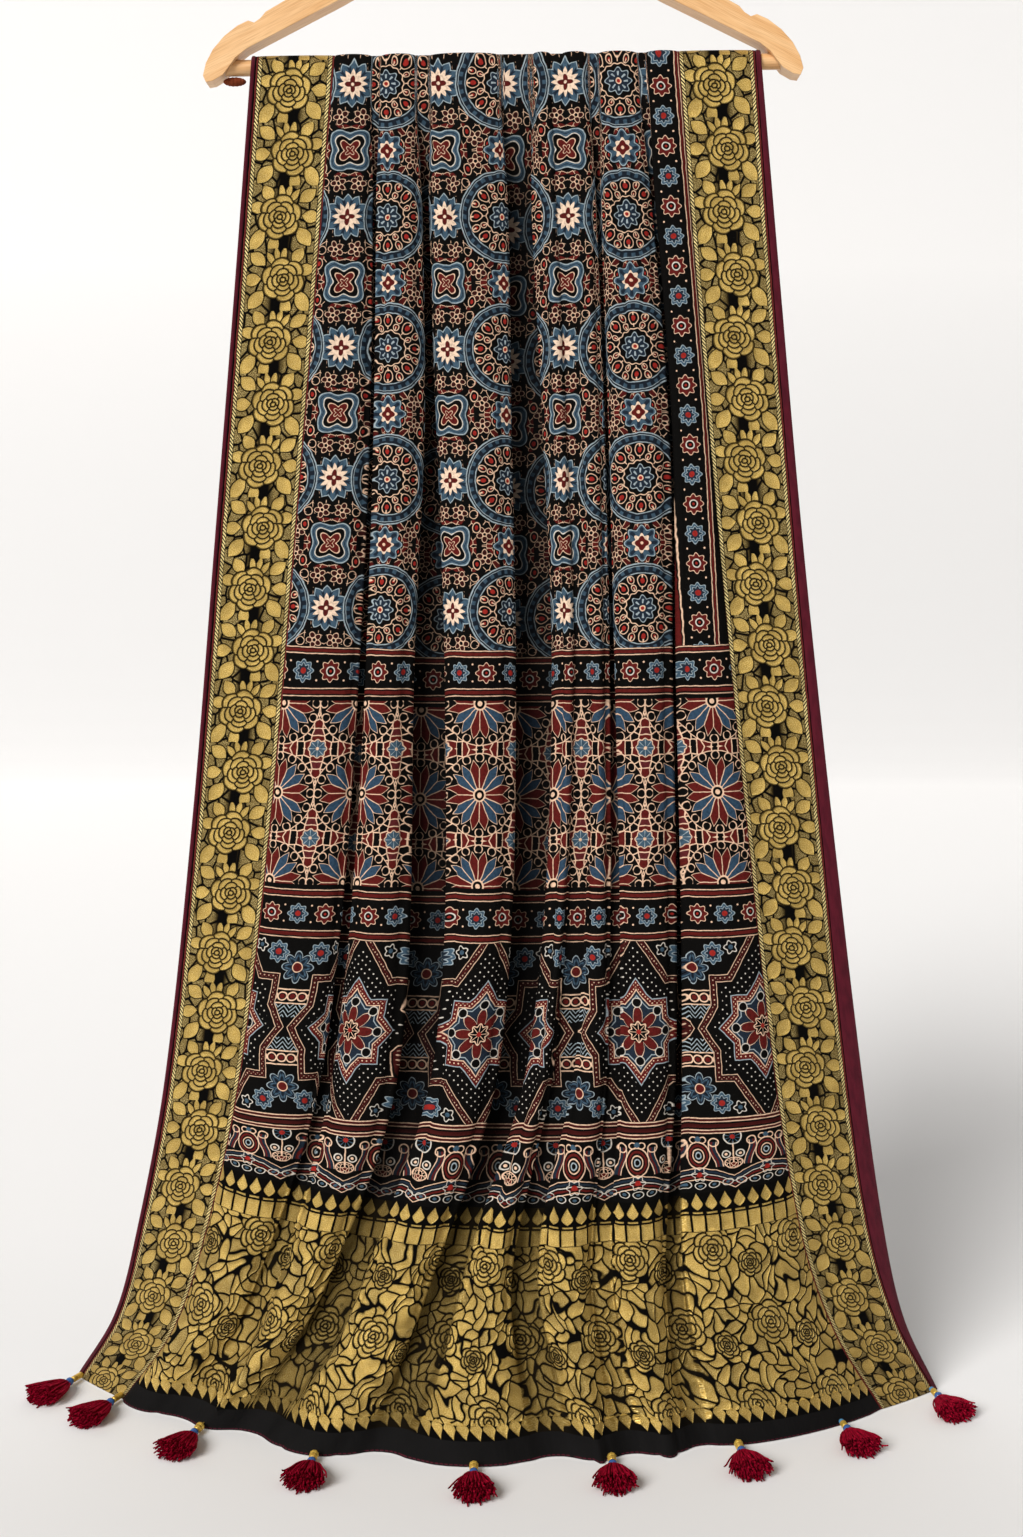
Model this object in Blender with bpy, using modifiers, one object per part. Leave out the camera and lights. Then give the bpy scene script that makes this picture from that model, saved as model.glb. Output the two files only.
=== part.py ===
"""A block-printed ajrakh cloth hung over the bar of a wooden clothes hanger, its hem on the floor.

Metres, +Z up, the printed front facing -Y. The origin is the seat inside the hanger's hook.
Sheets are built as their printed outer face, given their thickness inward by Solidify.
"""

import math

import bmesh
import bpy
from mathutils import Matrix, Vector

MM = 0.001

# The hanger, measured from the axis of its bar
TILT = math.radians(0.7)
SEAT_ABOVE_BAR = 209 * MM
BAR_RADIUS = 5.8 * MM
BAR_HALF = 213.7 * MM
SOCKET_CLEARANCE = 0.3 * MM
ARM_THICK = 20 * MM
HOOK_WIRE = 2 * MM
HOOK_RADIUS = 22 * MM
HOOK_STEM_FOOT = 121 * MM
HOOK_END_ANGLE = 205

# Half of the wooden body's outline, as (out from the middle, above the bar axis) in mm
BODY_PEAK = (129.5, 20)
BODY_TOP = ((174, 37.5), (178, 33), (182.6, 30), (187, 31.5))
BODY_END = ((195, 28), (205, 20.7), (213.5, 11.5), (219, 1.8), (221.5, -7), (219.5, -11.8), (214.5, -11))
BODY_UNDER = ((206.5, -6.5), (197, 5.5), (189, 11.5), (119, 45.5), (10, 103.3), (0, 105))

# The wound thread under the bar's left end, as x, below the bar axis, and its three sizes
THREAD_AT = (-199.4 * MM, -9.7 * MM)
THREAD_SIZE = (17 * MM, 8 * MM, 6.6 * MM)
THREAD_RIBS = 9

# The cloth
FLOOR_BELOW_BAR = 1016 * MM
HEM_LIFT = 0.8 * MM
SHEET = 1.2 * MM
SEAM_GAP = 0.4 * MM
BAR_CLEARANCE = 0.55 * MM
BORDER_LEFT = 57 * MM
BORDER_RIGHT = 56 * MM
BINDING_LEFT = 3 * MM
BACK_FALL = 750 * MM
OVER_BAR = BAR_RADIUS + BAR_CLEARANCE + SHEET
ARC_POWER_LEFT = 2.4
ARC_POWER_RIGHT = 2.1

# The drape from the bar (fall 0) to the floor (fall 1), in mm: where the left binding's and the right
# border's outer edges lie from the hanger's middle, how wide the right binding shows, and how far
# forward each rim and the middle stand
DRAPE_COLUMNS = ("fall", "left", "right", "binding", "rim_left", "rim_right", "middle")
DRAPE = (
    (0.00, -186.0, 186.5, 4.0, -8.7, -8.7, -8.7),
    (0.15, -199.0, 199.7, 5.5, -16.0, -16.0, -18.0),
    (0.35, -217.0, 218.6, 6.5, -28.0, -29.0, -33.0),
    (0.55, -235.4, 239.6, 9.0, -40.0, -42.0, -52.0),
    (0.75, -260.0, 262.8, 12.5, -46.0, -51.0, -78.0),
    (0.87, -285.0, 283.0, 12.0, -43.0, -53.0, -103.0),
    (0.94, -306.0, 306.0, 7.0, -33.0, -48.0, -126.0),
    (1.00, -342.0, 339.0, 3.5, -10.0, -37.0, -155.0),
)

# The folds of the printed field. Each has, at these falls, its place across the field (0 to 1),
# its half width on the same scale, and its depth in mm
FOLD_FALLS = (0.0, 0.25, 0.45, 0.72, 0.88, 1.0)
FOLDS = (
    {
        "at": (0.126, 0.167, 0.176, 0.167, 0.125, 0.085),
        "half": (0.010, 0.012, 0.014, 0.014, 0.014, 0.014),
        "deep": (6.0, 9.0, 10.0, 9.0, 6.0, 4.0),
    },
    {
        "at": (0.260, 0.311, 0.326, 0.332, 0.252, 0.172),
        "half": (0.016, 0.024, 0.038, 0.034, 0.024, 0.022),
        "deep": (8.0, 18.0, 20.0, 18.0, 13.0, 10.0),
    },
    {
        "at": (0.527, 0.550, 0.558, 0.515, 0.413, 0.350),
        "half": (0.036, 0.042, 0.040, 0.028, 0.022, 0.022),
        "deep": (10.0, 22.0, 25.0, 22.0, 15.0, 11.0),
    },
    {
        "at": (0.645, 0.665, 0.665, 0.610, 0.535, 0.570),
        "half": (0.012, 0.012, 0.012, 0.018, 0.020, 0.020),
        "deep": (0.0, 0.0, 0.0, 5.0, 12.0, 9.0),
    },
    {
        "at": (0.751, 0.747, 0.732, 0.700, 0.660, 0.665),
        "half": (0.012, 0.012, 0.012, 0.012, 0.014, 0.014),
        "deep": (5.0, 9.0, 9.0, 4.0, 4.0, 6.0),
    },
    {
        "at": (0.909, 0.912, 0.870, 0.824, 0.777, 0.755),
        "half": (0.012, 0.016, 0.016, 0.014, 0.014, 0.014),
        "deep": (8.0, 14.0, 16.0, 14.0, 9.0, 6.0),
    },
)
FOLD_FLOOR = 0.7
FOLD_RIM = 1.7
CROWN = ((0.0, 1.6), (0.06, 3.0), (0.3, 5.0), (0.6, 6.0), (0.9, 8.0), (1.0, 6.0))
BACK_SHARE = 0.45

# Rows of the sheets: falls of the front, steps over the bar, and rows of the back
FRONT_FALLS = (
    0.012, 0.03, 0.06, 0.11, 0.17, 0.24, 0.31, 0.38, 0.45, 0.52,
    0.59, 0.66, 0.73, 0.79, 0.84, 0.88, 0.915, 0.945, 0.975, 1.0,
)  # fmt: skip
BAR_STEPS = 6
BACK_FALLS = (1.0, 0.85, 0.65, 0.45, 0.25, 0.1, 0.03)

# The tassels: where each hangs along the hem (mm from the hanger's middle) and its heading, in
# degrees from -Y toward +X
TASSELS = (
    {"along": -336.0, "heading": -28.0},
    {"along": -297.0, "heading": -25.0},
    {"along": -226.0, "heading": -17.0},
    {"along": -137.0, "heading": -5.0},
    {"along": -21.0, "heading": 1.0},
    {"along": 79.0, "heading": 1.0},
    {"along": 173.0, "heading": 6.0},
    {"along": 255.0, "heading": 11.0},
    {"along": 335.0, "heading": 13.0},
)
STRANDS_ACROSS = 6
STRANDS_UP = 3
HEAD_WIDE = 9.5 * MM
HEAD_HIGH = 6.4 * MM
HEAD_HEIGHT = 4.6 * MM
STRAND_LENGTH = 31 * MM
STRAND_SPREAD = 14.2 * MM
STRAND_PITCH_UP = 2.6 * MM
STRAND_END = (4.6 * MM, 2.1 * MM)
STRAND_INSET = 0.16 * MM
# Behind the head, as (distance from its front, part of its width, part of its height)
BEAD_STEPS = (
    (4, 0.62, 0.80),
    (6, 0.42, 0.55),
    (8.6, 0.72, 1.05),
    (11.4, 0.42, 0.55),
    (15, 0.66, 0.95),
    (19.5, 0.56, 0.80),
    (23.5, 0.22, 0.30),
)
NECK_HALF = 1.2 * MM
NECK_GAP = 0.3 * MM

COLOURS = {
    "cloth": ((0.035, 0.022, 0.022, 1), 0.85, 0.0),
    "border": ((0.42, 0.30, 0.08, 1), 0.45, 0.6),
    "binding": ((0.07, 0.006, 0.014, 1), 0.8, 0.0),
    "tassel": ((0.32, 0.004, 0.02, 1), 0.75, 0.0),
    "wood": ((0.72, 0.42, 0.16, 1), 0.45, 0.0),
    "hook": ((0.62, 0.62, 0.63, 1), 0.25, 1.0),
    "thread": ((0.22, 0.05, 0.02, 1), 0.8, 0.0),
}

FLOOR_Z = -SEAT_ABOVE_BAR - FLOOR_BELOW_BAR
BAR_X = SEAT_ABOVE_BAR * math.sin(TILT)


def clear_scene():
    for obj in list(bpy.data.objects):
        bpy.data.objects.remove(obj, do_unlink=True)


def new_collection(name, helper=False):
    collection = bpy.data.collections.new(name)
    bpy.context.scene.collection.children.link(collection)
    collection.hide_render = helper
    return collection


def material(kind):
    found = bpy.data.materials.get(kind)
    if found:
        return found
    colour, roughness, metallic = COLOURS[kind]
    made = bpy.data.materials.new(kind)
    made.use_nodes = True
    shader = made.node_tree.nodes["Principled BSDF"]
    shader.inputs["Base Color"].default_value = colour
    shader.inputs["Roughness"].default_value = roughness
    shader.inputs["Metallic"].default_value = metallic
    return made


def add_object(name, data, kind, collection):
    obj = bpy.data.objects.new(name, data)
    obj.data.materials.append(material(kind))
    collection.objects.link(obj)
    return obj


def smooth(value, low, high):
    """Eases from 0 at low to 1 at high."""
    share = min(max((value - low) / (high - low), 0.0), 1.0)
    return share * share * (3 - 2 * share)


def through(places, values, at):
    """A smooth curve through values given at places, read at one place."""
    last = len(places) - 2
    span = next((k for k in range(last) if at < places[k + 1]), last)
    start, end = places[span], places[span + 1]
    width = end - start
    share = (at - start) / width

    def tangent(k):
        before, after = max(k - 1, 0), min(k + 1, len(places) - 1)
        return (values[after] - values[before]) / (places[after] - places[before]) * width

    square, cube = share**2, share**3
    return (
        (2 * cube - 3 * square + 1) * values[span]
        + (cube - 2 * square + share) * tangent(span)
        + (3 * square - 2 * cube) * values[span + 1]
        + (cube - square) * tangent(span + 1)
    )


def drape(name, fall):
    """One column of the drape table at a fall, in metres."""
    column = DRAPE_COLUMNS.index(name)
    return through([row[0] for row in DRAPE], [row[column] for row in DRAPE], fall) * MM


def plan(x, fall):
    """How far forward the smooth drape stands at x, and its slope in the ground plan."""
    left = x < 0
    reach = -drape("left", fall) if left else drape("right", fall)
    power = ARC_POWER_LEFT if left else ARC_POWER_RIGHT
    rim = drape("rim_left" if left else "rim_right", fall)
    middle = drape("middle", fall)
    share = abs(x) / reach
    slope = (rim - middle) * power * share ** (power - 1) / reach
    return middle + (rim - middle) * share**power, -slope if left else slope


def border_edge(side, fall):
    """The outer edge of a border, inside its binding."""
    if side == "left":
        return drape("left", fall) + BINDING_LEFT + SEAM_GAP
    return drape("right", fall)


def field_edge(side, fall):
    """Where the printed field meets the border on one side: the border keeps its width on the arc."""
    outer = border_edge(side, fall)
    width = BORDER_LEFT if side == "left" else BORDER_RIGHT
    toward = 1 if side == "left" else -1
    x = outer + toward * width
    for _ in range(4):
        slope = plan((outer + x) / 2, fall)[1]
        x = outer + toward * width / math.hypot(1, slope)
    return x


def fold_value(fold, key, fall):
    return through(FOLD_FALLS, fold[key], fall)


def relief(w, fall):
    """How far a point of the field stands proud of the smooth drape."""
    sunk = 0.0
    walls = [0.0]
    for fold in FOLDS:
        at, half = fold_value(fold, "at", fall), fold_value(fold, "half", fall)
        away = abs(w - at) / half
        sunk += fold_value(fold, "deep", fall) * (1 - smooth(away, FOLD_FLOOR, FOLD_RIM))
        walls += [at - half * FOLD_RIM, at + half * FOLD_RIM]
    walls.append(1.0)
    crown = 0.0
    for start, end in zip(walls[::2], walls[1::2]):
        if start < w < end:
            share = 2 * (w - start) / (end - start) - 1
            crown = (1 - share * share) ** 0.7
    places, heights = zip(*CROWN)
    return (crown * through(places, heights, fall) - sunk * smooth(fall, 0.008, 0.12)) * MM


def surface(x, w, fall):
    """A point of the front at x. w is its place across the field, or None on a border."""
    forward, slope = plan(x, fall)
    proud = 0.0 if w is None else relief(w, fall)
    length = math.hypot(1, slope)
    drop = fall * (FLOOR_BELOW_BAR - HEM_LIFT)
    rise = math.tan(TILT) * x * (1 - fall)
    return Vector(
        (
            BAR_X + x + proud * slope / length,
            forward - proud / length,
            -SEAT_ABOVE_BAR - drop + rise,
        )
    )


def over_bar(x, w, angle):
    """A point of the sheet where it passes over the bar: angle 0 is the front, 180 the back."""
    proud = 0.0 if w is None else relief(w, 0.0)
    radius = OVER_BAR + proud
    turn = math.radians(angle)
    rise = math.tan(TILT) * x
    return Vector((BAR_X + x, -radius * math.cos(turn), -SEAT_ABOVE_BAR + rise + radius * math.sin(turn)))


def behind(x, w, share):
    """A point of the plain fall behind the bar, where share 1 is its lower end."""
    proud = 0.0 if w is None else relief(w, 0.25 * share) * BACK_SHARE + 3 * MM * share
    rise = math.tan(TILT) * x * (1 - share)
    drop = share * BACK_FALL
    return Vector((BAR_X + x, OVER_BAR + max(proud, 0.0), -SEAT_ABOVE_BAR - drop + rise))


def field_columns(fall):
    """Places across the field: four along each fold's walls and two on each ridge."""
    places = [0.0]
    for fold in FOLDS:
        at, half = fold_value(fold, "at", fall), fold_value(fold, "half", fall)
        start, end = places[-1], at - half * FOLD_RIM
        places += [start + (end - start) * part for part in (0.34, 0.68)]
        places += [at - half * FOLD_RIM, at - half * FOLD_FLOOR]
        places += [at + half * FOLD_FLOOR, at + half * FOLD_RIM]
    start = places[-1]
    return places + [start + (1 - start) * part for part in (0.34, 0.68, 1.0)]


def field_row(fall):
    """x and w of each column, drawn in by half the seam gap at both sides."""
    left = field_edge("left", fall) + SEAM_GAP / 2
    right = field_edge("right", fall) - SEAM_GAP / 2
    return [(left + w * (right - left), w) for w in field_columns(fall)]


def strip_row(outer, inner, count):
    return [(outer + (inner - outer) * k / count, None) for k in range(count + 1)]


def border_left_row(fall):
    return strip_row(border_edge("left", fall), field_edge("left", fall) - SEAM_GAP / 2, 3)


def border_right_row(fall):
    return strip_row(field_edge("right", fall) + SEAM_GAP / 2, border_edge("right", fall), 3)


def binding_left_row(fall):
    edge = drape("left", fall)
    return strip_row(edge, edge + BINDING_LEFT, 1)


def binding_right_row(fall):
    edge = border_edge("right", fall) + SEAM_GAP
    return strip_row(edge, edge + drape("binding", fall), 1)


def sheet_points(row_of):
    """Rows of points from the lower end at the back, over the bar, down to the hem in front."""
    rows = []
    for share in BACK_FALLS:
        rows.append([behind(x, w, share) for x, w in row_of(0.2 * share)])
    for step in range(BAR_STEPS + 1):
        angle = 180 - 180 * step / BAR_STEPS
        rows.append([over_bar(x, w, angle) for x, w in row_of(0.0)])
    for fall in FRONT_FALLS:
        rows.append([surface(x, w, fall) for x, w in row_of(fall)])
    return rows


def sheet(name, row_of, kind, collection):
    """A loft between rows of points, as an open surface with its thickness inward."""
    rows = sheet_points(row_of)
    bm = bmesh.new()
    grid = [[bm.verts.new(point) for point in row] for row in rows]
    for upper, lower in zip(grid, grid[1:]):
        for k in range(len(upper) - 1):
            bm.faces.new((upper[k], lower[k], lower[k + 1], upper[k + 1]))
    data = bpy.data.meshes.new(name)
    bm.to_mesh(data)
    bm.free()
    data.shade_smooth()
    obj = add_object(name, data, kind, collection)
    solidify = obj.modifiers.new("thickness", "SOLIDIFY")
    solidify.thickness = SHEET
    solidify.offset = -1
    return obj


def body_outline():
    """The wooden body's outline, both halves, as (x, z) about the bar axis."""
    peak_height, peak_radius = BODY_PEAK
    slope = math.atan2(peak_height - BODY_TOP[0][1], BODY_TOP[0][0])
    centre = peak_height - peak_radius
    half = []
    for step in range(4):
        turn = slope * step / 3
        half.append((peak_radius * math.sin(turn), centre + peak_radius * math.cos(turn)))
    half += BODY_TOP + BODY_END + BODY_UNDER
    mirrored = [(-x, z) for x, z in reversed(half[1:-1])]
    return [(x * MM, z * MM) for x, z in half + mirrored]


def flat_shape(name, outline, thick, collection):
    """A filled 2D curve of even thickness, stood up in the XZ plane."""
    curve = bpy.data.curves.new(name, "CURVE")
    curve.dimensions = "2D"
    curve.fill_mode = "BOTH"
    curve.extrude = thick / 2
    spline = curve.splines.new("POLY")
    spline.points.add(len(outline) - 1)
    for point, (x, z) in zip(spline.points, outline):
        point.co = (x, z, 0, 1)
    spline.use_cyclic_u = True
    obj = bpy.data.objects.new(name, curve)
    collection.objects.link(obj)
    obj.rotation_euler.x = math.radians(90)
    return obj


def as_mesh(obj, name, kind, collection):
    """Replaces a curve object by its welded mesh, in world space."""
    graph = bpy.context.evaluated_depsgraph_get()
    data = bpy.data.meshes.new_from_object(obj.evaluated_get(graph))
    data.transform(obj.matrix_world)
    bpy.data.objects.remove(obj, do_unlink=True)
    bm = bmesh.new()
    bm.from_mesh(data)
    bmesh.ops.remove_doubles(bm, verts=bm.verts, dist=1e-5)
    bmesh.ops.recalc_face_normals(bm, faces=bm.faces)
    bm.to_mesh(data)
    bm.free()
    data.materials.clear()
    return add_object(name, data, kind, collection)


def cylinder(name, radius, start, end, collection, kind, sides=24):
    """A round bar between two points."""
    start, end = Vector(start), Vector(end)
    along = end - start
    bm = bmesh.new()
    bmesh.ops.create_cone(
        bm, cap_ends=True, segments=sides, radius1=radius, radius2=radius, depth=along.length
    )
    turn = along.to_track_quat("Z", "Y").to_matrix().to_4x4()
    bmesh.ops.transform(bm, matrix=Matrix.Translation((start + end) / 2) @ turn, verts=bm.verts)
    data = bpy.data.meshes.new(name)
    bm.to_mesh(data)
    bm.free()
    data.shade_smooth()
    data.set_sharp_from_angle(angle=math.radians(40))
    return add_object(name, data, kind, collection)


def cut(obj, cutter):
    cutter.display_type = "WIRE"
    cutter.hide_render = True
    boolean = obj.modifiers.new(cutter.name, "BOOLEAN")
    boolean.operation = "DIFFERENCE"
    boolean.solver = "EXACT"
    boolean.object = cutter


def hanger(parts, cutters):
    """The wooden body, its round bar, its hook and the thread wound under the bar."""
    pivot = bpy.data.objects.new("hanger_pivot", None)
    parts.objects.link(pivot)
    axis = -SEAT_ABOVE_BAR

    flat = flat_shape("hanger_outline", body_outline(), ARM_THICK, parts)
    flat.location.z = axis
    bpy.context.view_layer.update()
    body = as_mesh(flat, "hanger_body", "wood", parts)
    bevel = body.modifiers.new("rounded", "BEVEL")
    bevel.width = 1.5 * MM
    bevel.segments = 1
    bevel.limit_method = "ANGLE"
    bevel.angle_limit = math.radians(60)

    socket = BAR_RADIUS + SOCKET_CLEARANCE
    reach = BAR_HALF + SOCKET_CLEARANCE
    bore = cylinder("bar_bore", socket, (-reach, 0, axis), (reach, 0, axis), cutters, "wood")
    stem_foot = axis + HOOK_STEM_FOOT
    bore_foot = stem_foot - SOCKET_CLEARANCE
    stem = cylinder(
        "hook_bore", HOOK_WIRE + SOCKET_CLEARANCE, (0, 0, bore_foot), (0, 0, 0), cutters, "wood", 12
    )
    cut(body, bore)
    cut(body, stem)
    bar = cylinder("hanger_bar", BAR_RADIUS, (-BAR_HALF, 0, axis), (BAR_HALF, 0, axis), parts, "wood")

    wire = bpy.data.curves.new("hanger_hook_path", "CURVE")
    wire.dimensions = "3D"
    wire.bevel_depth = HOOK_WIRE
    wire.bevel_resolution = 2
    wire.use_fill_caps = True
    centre = HOOK_WIRE - HOOK_RADIUS
    path = [(0, stem_foot), (0, centre - HOOK_RADIUS - 8 * MM)]
    steps = 22
    for step in range(steps + 1):
        angle = math.radians(-90 + (HOOK_END_ANGLE + 90) * step / steps)
        path.append((HOOK_RADIUS * math.cos(angle), centre + HOOK_RADIUS * math.sin(angle)))
    spline = wire.splines.new("POLY")
    spline.points.add(len(path) - 1)
    for point, (x, z) in zip(spline.points, path):
        point.co = (x, 0, z, 1)
    loop = bpy.data.objects.new("hanger_hook_path", wire)
    parts.objects.link(loop)
    bpy.context.view_layer.update()
    hook = as_mesh(loop, "hanger_hook", "hook", parts)
    hook.data.shade_smooth()

    thread = wound_thread(parts)
    thread.location = (THREAD_AT[0], 0, axis + THREAD_AT[1])
    for obj in (body, bar, hook, thread, bore, stem):
        obj.parent = pivot
    pivot.rotation_euler.y = -TILT


def wound_thread(parts):
    """A small ribbed oval of thread, round about its long axis, pointed at both ends."""
    bm = bmesh.new()
    bmesh.ops.create_uvsphere(bm, u_segments=12, v_segments=2 * THREAD_RIBS, radius=0.5)
    for vert in bm.verts:
        ring = math.acos(max(-1, min(1, vert.co.z / 0.5))) / math.pi
        rib = 1 + 0.05 * math.cos(2 * math.pi * THREAD_RIBS * ring)
        vert.co.x *= rib
        vert.co.y *= rib
    lie = Matrix.Rotation(math.radians(90), 4, "Y")
    size = Matrix.Diagonal((*THREAD_SIZE, 1))
    bmesh.ops.transform(bm, matrix=size @ lie, verts=bm.verts)
    data = bpy.data.meshes.new("hanger_thread")
    bm.to_mesh(data)
    bm.free()
    data.shade_smooth()
    return add_object("hanger_thread", data, "thread", parts)


def tassel_mesh():
    """One tassel lying on the floor: its neck's end at the origin, its strands toward -Y."""
    bm = bmesh.new()
    bmesh.ops.create_grid(bm, x_segments=STRANDS_ACROSS, y_segments=STRANDS_UP, size=1)
    front = list(bm.verts)
    neck = BEAD_STEPS[-1][0] * MM
    cells = {
        face: (face.calc_center_median().x, face.calc_center_median().y) for face in bm.faces
    }
    ring = sorted(
        (vert for vert in front if vert.is_boundary), key=lambda vert: math.atan2(vert.co.y, vert.co.x)
    )

    def on_disc(x, up, wide, high, distance):
        """Maps the square grid to an ellipse behind the head's front."""
        return Vector(
            (
                x * math.sqrt(1 - up * up / 2) * wide * HEAD_WIDE / 2,
                -neck + distance * MM,
                HEAD_HEIGHT + up * math.sqrt(1 - x * x / 2) * high * HEAD_HIGH / 2,
            )
        )

    places = [(vert.co.x, vert.co.y) for vert in ring]
    before = ring
    for distance, wide, high in BEAD_STEPS:
        loop = [bm.verts.new(on_disc(x, up, wide, high, distance)) for x, up in places]
        for k in range(len(loop)):
            after = (k + 1) % len(loop)
            bm.faces.new((before[k], before[after], loop[after], loop[k]))
        before = loop
    bm.faces.new(before)
    for vert in front:
        vert.co = on_disc(vert.co.x, vert.co.y, 1, 1, 0)
    bmesh.ops.recalc_face_normals(bm, faces=bm.faces)

    roots = bmesh.ops.inset_individual(bm, faces=list(cells), thickness=STRAND_INSET)
    assert roots is not None
    for face, (x, up) in cells.items():
        tip = bmesh.ops.extrude_discrete_faces(bm, faces=[face])["faces"][0]
        row = round((up + 1) * STRANDS_UP / 2 - 0.5)
        centre = tip.calc_center_median()
        middle = Vector(
            (
                x * STRAND_SPREAD * STRANDS_ACROSS / (STRANDS_ACROSS - 1),
                -neck - STRAND_LENGTH * (1 - 0.16 * x * x) + 1.5 * MM * row,
                STRAND_END[1] / 2 + row * STRAND_PITCH_UP * (1 - 0.12 * x * x),
            )
        )
        for vert in tip.verts:
            side = 1 if vert.co.x > centre.x else -1
            above = 1 if vert.co.z > centre.z else -1
            vert.co = middle + Vector((side * STRAND_END[0] / 2, 0, above * STRAND_END[1] / 2))
    data = bpy.data.meshes.new("tassel")
    bm.to_mesh(data)
    bm.free()
    return data


def sheet_row(fall):
    """The outer face of both borders and the field in one row, from left to right."""
    columns = border_left_row(fall) + field_row(fall) + border_right_row(fall)
    return [surface(x, w, fall) for x, w in columns]


def hem_point(x):
    """The hem's outer face at a neck's height above the floor, and its outward normal."""
    low, high = sheet_row(FRONT_FALLS[-1]), sheet_row(FRONT_FALLS[-2])
    k = next(k for k in range(len(low) - 1) if low[k + 1].x >= x + BAR_X)
    share = (x + BAR_X - low[k].x) / (low[k + 1].x - low[k].x)
    foot, above = low[k].lerp(low[k + 1], share), high[k].lerp(high[k + 1], share)
    normal = (low[k + 1] - low[k]).cross(above - foot).normalized()
    return foot.lerp(above, (HEAD_HEIGHT - HEM_LIFT) / (above.z - foot.z)), normal


def tassels(collection):
    """The tassels along the hem, each neck's end a small gap in front of the cloth."""
    data = tassel_mesh()
    data.materials.append(material("tassel"))
    for number, tassel in enumerate(TASSELS, start=1):
        place, normal = hem_point(tassel["along"] * MM)
        heading = math.radians(tassel["heading"])
        axis = Vector((math.sin(heading), -math.cos(heading), 0))
        clear = NECK_GAP + NECK_HALF * math.sin(axis.angle(normal))
        obj = bpy.data.objects.new(f"tassel_{number}", data)
        collection.objects.link(obj)
        obj.location = place + axis * (clear / axis.dot(normal))
        obj.location.z = FLOOR_Z
        obj.rotation_euler.z = heading


def main():
    clear_scene()
    parts = new_collection("ajrakh_cloth_on_hanger")
    cutters = new_collection("cutters", helper=True)
    hanger(parts, cutters)
    sheet("cloth", field_row, "cloth", parts)
    sheet("border_left", border_left_row, "border", parts)
    sheet("border_right", border_right_row, "border", parts)
    sheet("binding_left", binding_left_row, "binding", parts)
    sheet("binding_right", binding_right_row, "binding", parts)
    tassels(parts)


main()
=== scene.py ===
"""The ajrakh cloth on its wooden hanger, dressed for one studio view.

Metres, +Z up. The origin is the seat inside the hanger's hook, and the printed front faces -Y.
The cloth is drawn again here as fine sheets on the folds of the plain solids. Every sheet carries
a map named "weave" that holds its own cloth coordinates, in metres: across, and along from the bar.
The prints and brocades are worked out from those coordinates by shader nodes.
"""

import math

import bpy
import numpy as np
from mathutils import Euler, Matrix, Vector


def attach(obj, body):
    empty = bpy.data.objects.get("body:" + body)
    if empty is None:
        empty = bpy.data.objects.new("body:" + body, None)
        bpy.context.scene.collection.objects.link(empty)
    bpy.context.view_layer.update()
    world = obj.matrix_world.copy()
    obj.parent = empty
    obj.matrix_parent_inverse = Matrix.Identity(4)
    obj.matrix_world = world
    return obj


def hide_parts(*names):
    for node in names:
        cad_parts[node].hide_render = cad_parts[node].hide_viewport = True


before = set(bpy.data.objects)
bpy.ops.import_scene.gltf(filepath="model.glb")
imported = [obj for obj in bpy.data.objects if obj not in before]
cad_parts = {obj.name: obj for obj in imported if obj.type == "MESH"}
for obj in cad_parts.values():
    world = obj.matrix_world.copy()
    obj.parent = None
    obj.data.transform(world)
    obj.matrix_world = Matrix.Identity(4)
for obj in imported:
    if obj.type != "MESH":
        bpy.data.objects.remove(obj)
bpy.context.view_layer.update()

MM = 0.001

# The hang of the cloth, in millimetres where it says so
TILT = math.radians(0.7)
SEAT_ABOVE_BAR = 209 * MM
FLOOR_BELOW_BAR = 1016 * MM
FLOOR_Z = -SEAT_ABOVE_BAR - FLOOR_BELOW_BAR
BAR_X = SEAT_ABOVE_BAR * math.sin(TILT)
OVER_BAR = 7.55 * MM
HEM_LIFT = 0.8 * MM
BACK_FALL = 750 * MM
BORDER_LEFT = 57 * MM
BORDER_RIGHT = 56 * MM
BINDING_LEFT = 3 * MM
ARC_LEFT, ARC_RIGHT = 2.4, 2.1

# fall: share of the drop to the floor. The other columns are millimetres from the bar's middle
DRAPE = {
    "fall": (0, 0.15, 0.35, 0.55, 0.75, 0.87, 0.94, 1),
    "left": (-186, -199, -217, -235.4, -260, -285, -306, -342),
    "right": (186.5, 199.7, 218.6, 239.6, 262.8, 283, 306, 339),
    "binding": (4, 5.5, 6.5, 9, 12.5, 12, 7, 3.5),
    "rim_left": (-8.7, -16, -28, -40, -46, -43, -33, -10),
    "rim_right": (-8.7, -16, -29, -42, -51, -53, -48, -37),
    "middle": (-8.7, -18, -33, -52, -78, -103, -126, -155),
}

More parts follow.
